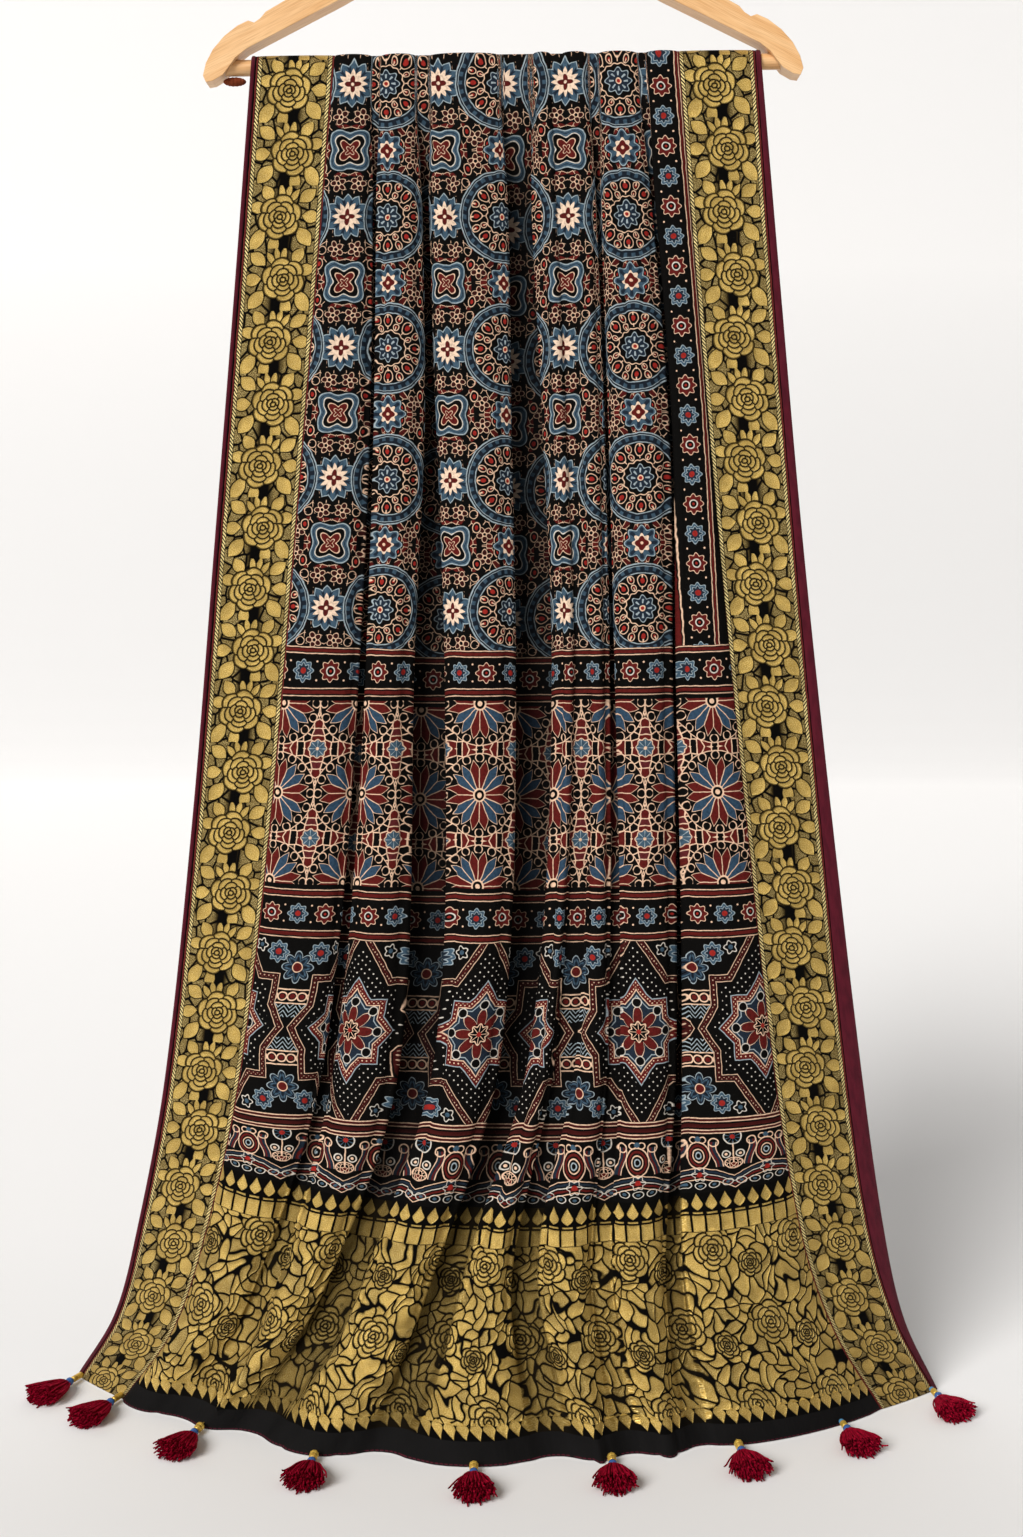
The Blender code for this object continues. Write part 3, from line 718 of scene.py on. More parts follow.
def field_material():
    """Stars, medallions, concave squares and florets in a net of small cells."""
    cloth = Cloth("print_field", BLACK)
    wide, tall, star_x, star_y = 92.5, 97.0, 429.0, 15.0
    x, y = wobble(cloth, 0.6)
    sx, sy = (x - star_x).wrap(wide), (y - star_y).wrap(tall)
    mx, qy = (x - star_x - wide / 2).wrap(wide), (y - star_y - tall / 2).wrap(tall)

    # The net of cells, mirrored about each star, in clumps with black between
    fold_x, fold_y = abs(sx), abs(sy)
    clump = cloth.cells(fold_x / 12.5 + 3.1, fold_y / 12.5 + 1.7, 0.9)[0]
    net(cloth, fold_x + 11.0, fold_y + 5.0, 5.4, 0.036, 0.80, where=clump.over(0.15, 0.05))
    for cx, cy, size in ((7.5, 24.0, 6.0), (27.0, 20.0, 6.2), (26.0, 40.0, 6.0), (40.0, 27.5, 5.4)):
        cluster(cloth, fold_x - cx, fold_y - cy, size, cx)
    curl = polar(fold_x - 18.0, fold_y - 25.0)[0]
    cloth.paint(curl, (3.0, 0.24, CREAM))
    for bx, by in ((18.0, 10.0), (20.0, 35.0), (36.0, 44.0)):
        bud(cloth, fold_x - bx, fold_y - by, 2.9)

    # Stars: a jagged blue rim, a cream star and a dark heart
    radius, angle = polar(sx, sy)
    points = (angle * (12 / (2 * math.pi))).zig(1.0)
    outer, inner = radius + points * 3.8 - 16.8, radius + points * 4.4 - 11.2
    cloth.paint(outer, (1.4, BLACK), (0, BLUE))
    cloth.lay(points.over(0.62, 0.2) * (outer + 1.2).inside(), DEEP_BLUE)
    cloth.paint(outer, (0, 0.42, PALE_BLUE))
    cloth.paint(inner, (0, PEACH))
    middle = radius - ((angle * 4.0).cos() * 1.7 + 4.4)
    cloth.paint(middle, (0, rgb(84, 26, 24)))
    cloth.paint(radius, (1.2, PEACH))

    # Concave squares
    radius, angle = polar(sx, qy)
    corner = (angle * 4.0).cos()
    square = radius + corner * 2.7
    cloth.paint(
        square, (17.4, BLACK), (15.6, BLUE), (15.6, 0.42, PALE_BLUE), (13.6, 0.30, DEEP_BLUE),
        (11.2, BLACK), (11.2, 0.45, LIGHT),
    )
    little = radius + corner * 2.6 - 6.8
    cloth.paint(little, (0, RED), (0, 0.42, CREAM))
    heart = radius + corner * 1.2 - 2.6
    cloth.paint(heart, (0, 0.3, CREAM))

    # Medallions: a slate ring with dashes, buds and cells inside, a flower in the middle
    radius, angle = polar(mx, sy)
    cloth.paint(radius, (34.0, BLACK), (30.0, 3.3, rgb(24, 31, 40)))
    dashes = (angle * 30.0).cos().over(0.1, 0.5) * (radius - 30.0).line(1.6)
    cloth.lay(dashes * 0.85, BLUE)
    for ring, half in ((26.4, 0.34), (33.4, 0.45), (31.6, 0.22)):
        cloth.lay((radius - ring).line(half), PALE_BLUE)
    for step, turned, size in ((20.6, 0.0, 3.6), (22.8, math.pi / 8, 2.4), (16.4, math.pi / 8, 1.9)):
        bud(cloth, (angle + turned).wrap(2 * math.pi / 8) * step, radius - step, size, 0.8)
    stalks = (angle * 8.0).sin().line(0.16, 0.16) * (radius - 19.8).line(5.6)
    cloth.lay(stalks * (1.0 - (radius - 19.8).line(3.0)), CREAM)
    cloth.paint(radius, (13.2, BLACK))
    cloth.paint(radius - (angle * 14.0).cos() * 0.5, (13.0, 0.36, CREAM))
    lobes = radius + (angle * 8.0).cos() * -1.3 - 8.8
    cloth.paint(lobes, (0, DEEP_BLUE), (0, 0.38, PALE_BLUE))
    cloth.lay((angle * 8.0).cos().over(0.6, 0.3) * (radius - 5.4).line(1.6), PALE_BLUE)
    cloth.paint(radius, (2.3, CREAM), (1.4, BRIGHT_RED))

    # Blue flowers below the medallions
    radius, angle = polar(mx, qy)
    petals = radius - ((angle * 8.0).cos() * 1.7 + 11.6)
    cloth.paint(petals, (1.4, BLACK), (0, BLUE))
    cloth.lay((angle * 8.0).cos().over(0.4, 0.4) * (petals + 1.5).inside(), DEEP_BLUE)
    cloth.paint(petals, (0, 0.4, PALE_BLUE))
    cloth.lay((radius - ((angle * 8.0).cos() * 1.0 + 6.4)).inside(), PEACH)
    cloth.lay((radius - ((angle * 4.0).cos() * 0.8 + 4.6)).inside(), RED)
    cloth.paint(radius, (1.2, CREAM))

    # The printed side band along the right border
    band = x.over(612.5)
    cloth.lay(band, BLACK)
    below = cloth.colour
    floret_row(cloth, y + 3.0, x - 630.5, 22.0, 8.0, 9.8)
    rule(cloth, x - 615.5, 5.2)
    rule(cloth, x - 643.0, 4.4)
    cloth.colour = cloth.mix(band, below, cloth.colour)
    return printed(cloth)


def floret_band_material(name, top, bottom, upper, lower):
    """A row of florets between two red and cream rules, across the cloth."""
    cloth = Cloth(name, BLACK)
    x, y = wobble(cloth, 0.35)
    middle = (top + upper + bottom - lower) / 2
    floret_row(cloth, x - 4.0, y - middle, 20.5, 8.0, 9.6)
    rule(cloth, y - top - upper / 2, upper)
    rule(cloth, y - bottom + lower / 2, lower)
    return printed(cloth)


def rosette_material():
    """Sixteen-petalled rosettes in a mosaic of cells."""
    cloth = Cloth("print_rosettes", BLACK)
    x, y = wobble(cloth, 0.45)
    wide, tall, top = 57.5, 68.0, 472.0
    rx, ry = (x - 20.0).wrap(wide), (y - top).wrap(tall)
    net(cloth, abs(rx) + 9.3, abs(ry) + 4.2, 5.6, 0.072, 0.76, 0.90)

    # A small blue flower between four rosettes
    radius, angle = polar((x - 20.0 - wide / 2).wrap(wide), (y - top - tall / 2).wrap(tall))
    small = radius - ((angle * 8.0).cos() * 0.5 + 6.6)
    cloth.paint(small, (0, BLUE))
    cloth.lay((angle * 4.0).sin().line(0.22, 0.2) * (radius - 6.4).inside(), PALE_BLUE)
    cloth.paint(small, (0, 0.36, CREAM))
    cloth.paint(radius, (1.2, CREAM))

    # The ring of black and blue cells round a rosette
    radius, angle = polar(rx * 1.08, ry)
    ring = (radius - 30.6).inside()
    cloth.lay(ring, BLACK)
    cell = polar(angle.wrap(math.pi / 8) * 27.4, radius - 27.8)[0] - 3.1
    cloth.lay(cell.inside() * (angle * 8.0).cos().over(0.0, 0.1) * angle.turn(math.pi / 8), BLUE)
    cloth.lay(cell.line(0.36) * ring, CREAM)
    cloth.paint(radius, (31.0, 0.32, CREAM))

    # Petals, red in pairs along the axes and blue between
    part = angle * (16 / (2 * math.pi))
    from_middle = abs((part + 0.5).wrap(1.0))
    from_edge = (0.5 - from_middle) * radius * (2 * math.pi / 16)
    tip = radius + from_middle * 15.0 - 26.4
    petal = tip.inside()
    axis = abs(angle.wrap(math.pi / 2)) - math.pi / 8
    cloth.paint(radius, (25.0, BLACK))
    cloth.lay(petal, rgb(46, 68, 88))
    cloth.lay(petal * axis.inside(0.02), RED)
    cloth.lay(petal * (from_edge - 0.32).inside(), CREAM)
    cloth.paint(tip, (0, 0.34, CREAM))
    cloth.paint(radius, (5.2, CREAM), (3.9, BLACK), (1.9, CREAM))
    for start in (468.5, 611.0):
        cloth.paint(abs(y - start), (1.5, BLACK))
    return printed(cloth)


def star_distance(x, y, side, across, down, notch_x, notch_y):
    """The distance from an eight-pointed star: a square with a long point on each side."""

    def point(along, over, reach, notch):
        length = math.hypot(notch, reach - side)
        return (along - reach) * (notch / length) + over * ((reach - side) / length)

    square = x.high(y) - side
    return square.low(point(y, x, down, notch_x)).low(point(x, y, across, notch_y))


def star_material():
    """Large eight-pointed stars, dotted inside, with flowers and bars between."""
    cloth = Cloth("print_stars", BLACK)
    x, y = wobble(cloth, 0.4)
    pitch, centre_y = 104.0, 718.0
    sx, sy = (x - 55.0).wrap(pitch), y - centre_y
    ax, ay = abs(sx), abs(sy)

    # Between the stars: flowers, small florets, bars and zigzags
    between_x = (x - 55.0 - pitch / 2).wrap(pitch)
    radius, angle = polar(between_x, ay - 45.0)
    petals = radius - (abs((angle * 4.0).cos()) * 4.4 + 7.6)
    cloth.paint(petals, (0, DEEP_BLUE), (-3.2, 0.9, BLUE))
    cloth.lay((abs((angle * 4.0).sin()) * radius - 1.0).inside() * petals.inside(), BLACK)
    cloth.paint(petals, (0, 0.38, PALE_BLUE))
    cloth.paint(radius, (3.4, RED), (3.6, 0.34, CREAM))
    bars = abs(ay - 23.0) - 5.2
    chain = polar(between_x.wrap(7.4), (ay - 23.0) * 1.1)[0]
    in_bar = bars.inside() * (abs(between_x) - 15.0).inside()
    cloth.lay(in_bar * (chain - 3.4).line(0.5), CREAM)
    cloth.lay(in_bar * (chain - 2.0).inside(), RED)
    cloth.lay(bars.line(0.45) * (abs(between_x) - 15.0).inside(), CREAM)
    zigzag = ay - 11.0 - between_x.zig(9.0) * 5.0
    in_waist = (abs(ay - 12.5) - 5.0).inside() * (abs(between_x) - ay * 0.85).inside()
    cloth.lay(zigzag.wrap(3.4).line(0.45) * in_waist, PALE_BLUE)
    floret(cloth, ax - 36.0, ay - 56.0, (ax * 0.0), 8.6)
    radius, angle = polar(ax - 22.0, ay - 60.0)
    curl = radius - ((angle * 5.0).cos() * 0.9 + 4.2)
    cloth.paint(curl, (0, 0.45, LIGHT))
    cloth.paint(radius, (1.7, BLUE))

    # The star and the smaller one inside it
    star = star_distance(ax, ay, 40.0, 51.0, 64.0, 15.5, 17.5)
    cloth.paint(star, (0, BLACK), (-2.9, 1.5, rgb(60, 18, 16)))
    dots = ((x + y).wrap(3.6).line(0.7) * (x - y).wrap(3.6).line(0.7)) * (star + 2.9).line(0.8)
    cloth.lay(dots * 0.7, CREAM)
    for inset in (0.4, 5.4):
        cloth.lay((star + inset).line(0.24), CREAM)
    speck = polar((x + y).wrap(6.4), (x - y).wrap(6.4))[0] - 0.8
    cloth.lay(speck.inside() * (star + 9.0).inside(), LIGHT)
    small = star_distance(ax, ay, 24.0, 34.5, 39.5, 10.5, 11.0)
    cloth.paint(small, (2.0, BLACK), (0, RED), (0, 0.36, PALE_BLUE))
    dots = ((x + y).wrap(3.4).line(0.7) * (x - y).wrap(3.4).line(0.7)) * (small + 2.4).line(1.0)
    cloth.lay(dots, CREAM)
    cloth.paint(small, (-4.6, DEEP_BLUE), (-4.6, 0.36, CREAM), (-7.0, 0.34, PALE_BLUE))
    radius, angle = polar(sx, sy)
    petals = radius - (abs((angle * 4.0).cos()) * 10.5 + 8.0)
    cloth.paint(petals, (-1.0, RED), (0, 0.42, CREAM))
    ring = polar(angle.wrap(math.pi / 4) * 21.5, radius - 21.5)[0] - 3.4
    cloth.paint(ring, (0, BLACK), (0, 0.34, LIGHT))
    cloth.paint(radius, (7.6, BLACK))
    cloth.lay((radius - ((angle * 8.0).cos() * 1.0 + 6.6)).line(0.5), CREAM)
    cloth.lay((abs((angle * 4.0).sin()) * radius - 0.8).inside() * (radius - 7.0).inside(), CREAM)
    cloth.paint(radius, (1.8, BRIGHT_RED))
    return printed(cloth)


def triple_material():
    """Thin cream and dark red rules across the cloth."""
    cloth = Cloth("print_triple", BLACK)
    y = wobble(cloth, 0.25)[1]
    cloth.paint(abs(y - 792.0), (6.2, rgb(64, 20, 18)))
    for off in (-2.2, 2.2):
        cloth.lay((y - 792.0 - off).line(0.7), BLACK)
    for off in (-6.2, -3.4, 3.4, 6.2):
        cloth.lay((y - 792.0 - off).line(0.42), CREAM)
    return printed(cloth)


def arch_material():
    """Palmettes between curled leaves over a zigzag garland."""
    cloth = Cloth("print_arches", BLACK)
    x, y = wobble(cloth, 0.45, 6.0)
    pitch = 53.0
    ax = abs((x - 55.0).wrap(pitch))
    bx = abs((x - 55.0 - pitch / 2).wrap(pitch))
    down = y - 799.0

    # The garland
    garland = down - 39.5 + ax.zig(pitch) * -9.5 + bx.zig(pitch / 2) * 1.6
    cloth.paint(
        garland, (0, 0.34, CREAM), (-2.6, 0.8, RED), (-5.0, 0.34, LIGHT), (-7.4, 0.9, DEEP_BLUE),
        (-9.8, 0.34, CREAM),
    )
    # Palmettes
    drop = polar(ax, (down - 19.0) * 0.72)[0]
    cloth.paint(drop, (8.6, 0.38, CREAM), (6.4, 0.7, RED), (4.2, 0.36, CREAM), (2.0, 0.4, PALE_BLUE))
    cloth.paint(polar(ax - 3.4, down - 5.2)[0], (2.6, 0.45, CREAM))
    cloth.paint(polar(ax, down - 4.4)[0], (2.2, BLUE))
    # Curled leaves beside them
    sway = ax - 13.2 + ((down - 2.0) * 0.17).sin() * 2.6
    leaf = (abs(down - 18.5) - 11.5).inside()
    cloth.lay(sway.line(2.4) * leaf, DEEP_BLUE)
    cloth.lay((sway + 0.8).line(0.7) * leaf, RED)
    cloth.lay((abs(sway) - 2.7).line(0.34) * leaf, CREAM)
    curl = polar(ax - 11.8, down - 7.4)[0]
    cloth.paint(curl, (3.6, 0.5, CREAM))
    # Stalks with small wheels between them
    cloth.lay(bx.line(0.5) * (abs(down - 18.0) - 10.0).inside(), CREAM)
    wheel = polar(bx - 5.4, down - 19.0)[0]
    cloth.paint(wheel, (3.1, 0.5, LIGHT), (1.2, CREAM))
    fan, turn = polar(bx, down - 3.0)
    cloth.lay((fan - 6.6).inside() * (abs((turn * 5.0).cos()) - 0.35).inside(0.2), BLUE)
    cloth.paint(fan, (6.8, 0.5, LIGHT), (2.0, BRIGHT_RED))
    basket = polar(bx * 0.7, down - 27.5)[0]
    cloth.paint(basket, (4.8, 0.36, CREAM))
    net(cloth, bx + 2.0, down, 2.8, 0.08, where=(basket - 4.4).inside())
    # The lowest row of loops and flowers
    loop = polar((x - 55.0).wrap(10.6), (down - 43.5 - bx.zig(pitch) * 2.0) * 1.5)[0]
    cloth.paint(loop, (4.0, 0.36, LIGHT), (1.6, BLUE))
    flower, turn = polar(ax, down - 36.0)
    cloth.lay((flower - ((turn * 6.0).cos() * 0.9 + 5.0)).line(0.36), LIGHT)
    cloth.paint(flower, (2.2, BRIGHT_RED))
    return printed(cloth)


GOLD = rgb(190, 156, 78)
GOLD_LIGHT = rgb(246, 224, 156)
GOLD_DARK = rgb(104, 82, 36)
GOLD_GROUND = rgb(88, 72, 38)
JET = rgb(7, 6, 5)


def rose(x, y, size):
    """A rose of petal rings: the distance from its edge, and how far a point lies from its lines."""
    radius, angle = polar(x, y)
    angle = angle + radius * (0.35 / size)
    edge = lines = None
    rings = ((1.0, 6, 0.0), (0.74, 5, 0.7), (0.50, 4, 1.3), (0.28, 3, 0.2), (0.12, 2, 0.0))
    reaches = []
    for share, petals, turned in rings:
        swell = abs(((angle + turned) * (petals / 2)).cos()).math("POWER", 0.7)
        reaches.append((swell * 0.17 + 0.83) * (size * share))
    for number, (share, petals, turned) in enumerate(rings):
        line = abs(radius - reaches[number])
        lines = line if lines is None else lines.low(line)
        if number + 1 < len(rings):
            cut = abs(((angle + turned) * (petals / 2)).cos()) * radius * (2 / petals)
            within = cut.high(radius - reaches[number]).high(reaches[number + 1] - radius)
            lines = lines.low(within)
    return radius - reaches[0], lines


def leaf(x, y, at, length, wide, degrees):
    """The distance from the edge of a pointed leaf that grows from a point in a direction."""
    c, s = math.cos(math.radians(degrees)), math.sin(math.radians(degrees))
    dx, dy = x - at[0], y - at[1]
    along = (dx * c + dy * s) / (length / 2) - 1.0
    over = abs(dy * c - dx * s)
    return over + along * along * wide - wide


def gold_threads(cloth, height, roughness=0.42):
    """Finishes a brocade: fine metal thread over the laid colours, raised by height."""
    grain = cloth.noise(cloth.x / 0.55, cloth.y / 0.55, 1.0)
    floats = (cloth.x * (2 * math.pi / 0.8)).sin() * (cloth.y * (2 * math.pi / 1.3)).sin()
    cloth.lay(grain.over(0.58, 0.12) * height.over(0.15, 0.2) * 0.55, GOLD_LIGHT)
    raised = height.over(0.12, 0.2)
    cloth.lay((0.45 - grain).climb(6.0) * raised * 0.5, GOLD_DARK)
    shade = cloth.noise(cloth.x / 16.0, cloth.y / 16.0)
    cloth.lay(shade.over(0.5, 0.3) * raised * 0.34, GOLD_DARK)
    relief = height + floats * 0.10 + grain * 0.22
    shine = height.over(0.1, 0.3)
    return cloth.finish(relief, 0.9, 1.0 - shine * (1 - roughness), shine * 0.6)


def border_material():
    """A column of roses and leaves in gold on black, with roped edges."""
    cloth = Cloth("brocade_border", JET)
    x, y = wobble(cloth, 0.35, 6.0)
    pitch = 46.0
    side = y.turn(pitch) * 2.0 - 1.0
    flipped = x * side
    dy = y.wrap(pitch)

    # The dull ground of large cells toward both edges
    edge = cloth.cells(x / 9.5, y / 11.0, 0.9)[0]
    ground = (edge - 0.05).climb(14.0) * abs(x).over(7.0, 5.0)
    cloth.lay(ground, GOLD_GROUND)
    beads = cloth.cells(x / 1.3, y / 1.3, 0.6)[0]
    cloth.lay(ground * beads.over(0.2, 0.15) * 0.45, GOLD_DARK)

    # Leaves, then the rose over them
    height = ground * 0.25
    shapes = (
        ((-14.0, 8.0), 17.0, 4.4, 118.0),
        ((-6.0, 12.0), 15.0, 3.6, 92.0),
        ((11.0, 8.0), 15.0, 4.6, 52.0),
        ((13.5, -1.0), 12.0, 4.2, 8.0),
        ((11.0, -11.0), 13.0, 4.2, -38.0),
        ((-13.0, -6.0), 12.0, 3.8, 190.0),
        ((-9.0, -12.0), 12.0, 3.8, 236.0),
        ((1.0, -12.0), 11.0, 2.0, -76.0),
        ((-1.5, -12.0), 11.0, 2.0, -98.0),
        ((4.0, -11.0), 10.0, 2.0, -56.0),
    )
    for at, length, wide, degrees in shapes:
        distance = leaf(flipped, dy, at, length * 1.12, wide * 1.12, degrees)
        cloth.paint(distance, (0.8, JET))
        body = distance.inside(0.5)
        cloth.lay(body, GOLD)
        dome = (distance / -2.4).low(1.0).high(0.0)
        height = height * (distance - 0.75).climb(3.0) + body * (dome * 0.5 + 0.5)
    edge, petal = rose(flipped + 3.0, dy, 16.2)
    outside = (edge - 0.8).climb(3.0)
    cloth.paint(edge, (0.8, JET), (0, GOLD))
    cut = petal.math("MULTIPLY_ADD", 1.6, -0.45, clamp=True)
    cloth.lay((1.0 - cut) * edge.inside(), JET)
    height = height * outside + edge.inside(0.5) * cut * (petal * 0.16 + 0.6).low(1.0)

    # Roped edges: slanted gold stitches on black
    rim = abs(x)
    roped = rim.over(24.2)
    cloth.lay(roped, JET)
    stitch = ((y + rim * 1.3).wrap(2.9).line(0.85, 0.4)) * (rim - 25.8).line(1.3)
    cloth.lay(stitch, GOLD_LIGHT)
    cloth.paint(rim, (28.0, 0.55, rgb(104, 40, 36)))
    height = height * (1.0 - roped) + stitch * 0.9
    return gold_threads(cloth, height)


def gold_end_material():
    """The woven gold end: roses among leaves, between rows of bars and of pointed drops, with painted shade
    in its folds.
    """
    cloth = Cloth("brocade_end", JET)
    x, y = wobble(cloth, 0.4, 9.0)
    top, bottom = 850.0, 1012.0

    # Leaves everywhere, as bent cells with black between
    bend_x = x + (cloth.noise(x / 26.0, y / 26.0, 1.0) - 0.5) * 26.0
    bend_y = y + (cloth.noise(x / 26.0 + 9.0, y / 26.0, 1.0) - 0.5) * 26.0
    edge, first, _, out = cloth.cells((bend_x + bend_y * 0.3) / 9.0, (bend_y - bend_x * 0.2) / 11.0, 0.95)
    body = (edge - 0.05).climb(14.0) * (0.72 - out).climb(9.0)
    cloth.lay(body, GOLD)
    cloth.lay(body * first.over(0.8, 0.1) * 0.45, GOLD_GROUND)
    height = body * (edge * 2.0).low(0.8) + body * 0.3

    # Roses, staggered, with a small one beside each
    wide, tall = 66.0, 54.0
    row = ((y - top - 42.0) / tall + 0.5).math("FLOOR")
    ry = (y - top - 42.0).wrap(tall)
    rx = x - 21.0 + row * 33.0
    for dx, dy, size in ((0.0, 0.0, 15.0), (27.0, 12.0, 9.5)):
        edge, petal = rose((rx - dx).wrap(wide), ry - dy, size)
        cut = petal.math("MULTIPLY_ADD", 1.5, -0.40, clamp=True)
        cloth.paint(edge, (0.8, JET))
        cloth.lay(edge.inside() * cut, GOLD)
        height = height * (edge - 0.8).climb(3.0) + edge.inside(0.5) * cut

    # Pointed drops, a broken line and bars at both ends
    for off, pitch, wide, belly, reach in ((y - top, 10.8, 4.3, 8.4, 29.0), (bottom - y, 9.8, 4.5, 7.4, 9.9)):
        zone = (off - reach).inside()
        cloth.lay(zone, JET)
        bx = abs(x.wrap(pitch))
        beyond = (off - belly).high(0.0)
        swell = beyond * beyond * 0.2
        shape = (bx - (off - 0.4) * (wide / belly * 1.1)).high(bx + swell - wide)
        if reach > 20:
            dash = (abs(off - 15.0) - 0.6).high(bx - 3.8)
            shape = shape.low(dash).low((bx - 4.5).high(abs(off - 22.8) - 5.8))
        cloth.paint(shape, (0, GOLD))
        tongue = (shape / -2.0).low(1.0).high(0.0)
        height = height * (1.0 - zone) + shape.inside(0.5) * (tongue * 0.5 + 0.5) * zone
    # Painted shade: the woven gold is darkened toward dark brown by how deep in a fold it lies
    depth = cloth.tree.nodes.new("ShaderNodeAttribute")
    depth.attribute_name = "depth"
    deep = Ink(cloth.tree, depth.outputs["Fac"])
    made = gold_threads(cloth, height, 0.34)
    cloth.colour = cloth.mix((deep * 1.4).low(1.0) * 0.66, cloth.colour, rgb(26, 20, 9))
    cloth.tree.links.new(cloth.colour, cloth.shader.inputs["Base Color"])
    return made


def hem_material():
    """Plain black cloth with a soft weave and a line of maroon stitches at its edge."""
    cloth = Cloth("hem_black", rgb(12, 11, 11))
    cloud = cloth.noise(cloth.x / 30.0, cloth.y / 30.0, 3.0)
    cloth.lay(cloud.over(0.5, 0.4) * 0.25, rgb(22, 20, 20))
    stitch = cloth.x.wrap(3.6).line(1.3, 0.4) * (cloth.y - 1028.9).line(0.5)
    cloth.lay(stitch, rgb(74, 24, 36))
    ripple = cloth.noise(cloth.x / 11.0, cloth.y / 40.0)
    return cloth.finish(thread_relief(cloth) * 0.12 + ripple * 1.5 + stitch * 0.8, 0.5, 0.78, specular=0.1)


def binding_material():
    cloth = Cloth("binding_maroon", rgb(84, 20, 34))
    cloud = cloth.noise(cloth.x / 4.0, cloth.y / 14.0, 3.0)
    cloth.lay(cloud.over(0.55, 0.3) * 0.5, rgb(52, 10, 22))
    return cloth.finish(thread_relief(cloth, 0.8) * 0.2 + cloud * 0.8, 0.45, 0.74, sheen=0.08)


def wood_material(name, slope):
    """Pale lacquered wood. Its grain runs along the arms, which fall by slope on both sides."""
    wood = Cloth(name, rgb(234, 190, 138), solid=True)
    c, s = math.cos(slope), math.sin(slope)
    run, rise = abs(wood.x) * c - wood.z * s, abs(wood.x) * s + wood.z * c
    bend = wood.noise(run / 70.0, rise / 30.0)
    streak = wood.noise(run / 110.0, rise / 3.4 + wood.y * 0.12 + bend * 2.0, 3.0)
    fine = wood.noise(run / 22.0, rise / 0.55 + wood.y * 0.9, 2.0)
    wood.lay(streak.over(0.5, 0.3) * 0.6, rgb(212, 156, 96))
    wood.lay(fine.over(0.56, 0.2) * 0.35, rgb(178, 122, 68))
    return wood.finish(fine * 0.5 + streak * 0.3, 0.12, 0.36, specular=0.35)


def steel_material():
    steel = Cloth("hook_steel", rgb(204, 205, 208), solid=True)
    draw = steel.noise(steel.x / 0.6 + steel.z / 0.6, steel.y / 0.6, 2.0)
    return steel.finish(draw, 0.02, draw * 0.12 + 0.14, 1.0, specular=0.5)


def thread_material():
    """Russet thread wound round the bar, with painted shade in the grooves between its turns."""
    thread = Cloth("thread_russet", rgb(150, 74, 46), solid=True)
    turns = (thread.x * (2 * math.pi / 0.9) + thread.y * 0.5).sin()
    # Painted shade: darker russet in the grooves between the turns
    thread.lay((turns * -0.5 + 0.2).high(0.0), rgb(84, 34, 20))
    fluff = thread.noise(thread.x / 0.8, thread.z / 0.8, 3.0)
    return thread.finish(turns * 0.6 + fluff * 0.5, 0.4, 0.8)


def yarn_material():
    yarn = Cloth("yarn_crimson", rgb(160, 10, 42))
    cloud = yarn.noise(yarn.x / 3.0, yarn.y / 6.0, 2.0)
    yarn.lay(cloud.over(0.54, 0.3) * 0.6, rgb(104, 3, 24))
    yarn.lay((0.42 - cloud).climb(5.0) * 0.6, rgb(190, 24, 58))
    ply = (yarn.x * (2 * math.pi / 1.9) + yarn.y * (2 * math.pi / 2.6)).sin()
    # Painted shade: darker crimson in the grooves between the plies
    yarn.lay(ply.math("MULTIPLY_ADD", -0.4, -0.1, clamp=True), rgb(60, 2, 16))
    return yarn.finish(ply * 0.6 + cloud * 0.4, 0.25, 0.85)


def bead_material(name, colour, dark, metallic, roughness):
    bead = Cloth(name, colour)
    spots = bead.noise(bead.x / 1.6, bead.y / 1.2, 2.0)
    bead.lay(spots.over(0.52, 0.2) * 0.55, dark)
    return bead.finish(spots, 0.12, roughness, metallic, specular=0.5)


points, across, along, depth = field_sheet()
field = sheet_mesh("printed_field", points, across, along, depth)
borders = {}
for side in ("left", "right"):
    inner = lambda fall, side=side: field_edge(side, fall) + (2.5 * MM if side == "left" else -2.5 * MM)
    outer = lambda fall, side=side: border_edge(side, fall)
    ends = (outer, inner) if side == "left" else (inner, outer)
    borders[side] = sheet_mesh("brocade_" + side, *strip_sheet(*ends, 17, 0.5 * MM, 0.5 * MM))
bindings = {
    "left": sheet_mesh(
        "edge_left",
        *strip_sheet(
            lambda fall: drape("left", fall), lambda fall: border_edge("left", fall), 5, 0.2 * MM, 0.9 * MM
        ),
    ),
    "right": sheet_mesh(
        "edge_right",
        *strip_sheet(
            lambda fall: drape("right", fall),
            lambda fall: drape("right", fall) + drape("binding", fall),
            7,
            0.1 * MM,
            0.8 * MM,
        ),
    ),
}


for piece, node, name in (
    (field, "cloth", "printed_cloth"),
    (borders["left"], "border_left", "gold_brocade"),
    (borders["right"], "border_right", "gold_brocade"),
    (bindings["left"], "binding_left", "binding"),
    (bindings["right"], "binding_right", "binding"),
):
    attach(piece, "root")
    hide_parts(node)
# The field's bands each have their own material, told apart by the cloth coordinate along it
printed_bands = (
    field_material(),
    floret_band_material("print_florets_high", 432.0, 467.0, 5.6, 6.6),
    rosette_material(),
    floret_band_material("print_florets_low", 613.0, 651.0, 6.6, 6.6),
    star_material(),
    triple_material(),
    arch_material(),
    gold_end_material(),
    hem_material(),
)
for made in printed_bands:
    field.data.materials.append(made)
band_starts = np.array([start for _, start in BANDS], float)
middles = (along[:-1, 0] + along[1:, 0]) / 2 / MM
band_of_row = np.clip(np.searchsorted(band_starts, middles) - 1, 0, len(BANDS) - 1)
field.data.polygons.foreach_set("material_index", np.repeat(band_of_row, along.shape[1] - 1).astype(np.int32))
brocade = border_material()
maroon = binding_material()
for side in ("left", "right"):
    borders[side].data.materials.append(brocade)
    bindings[side].data.materials.append(maroon)

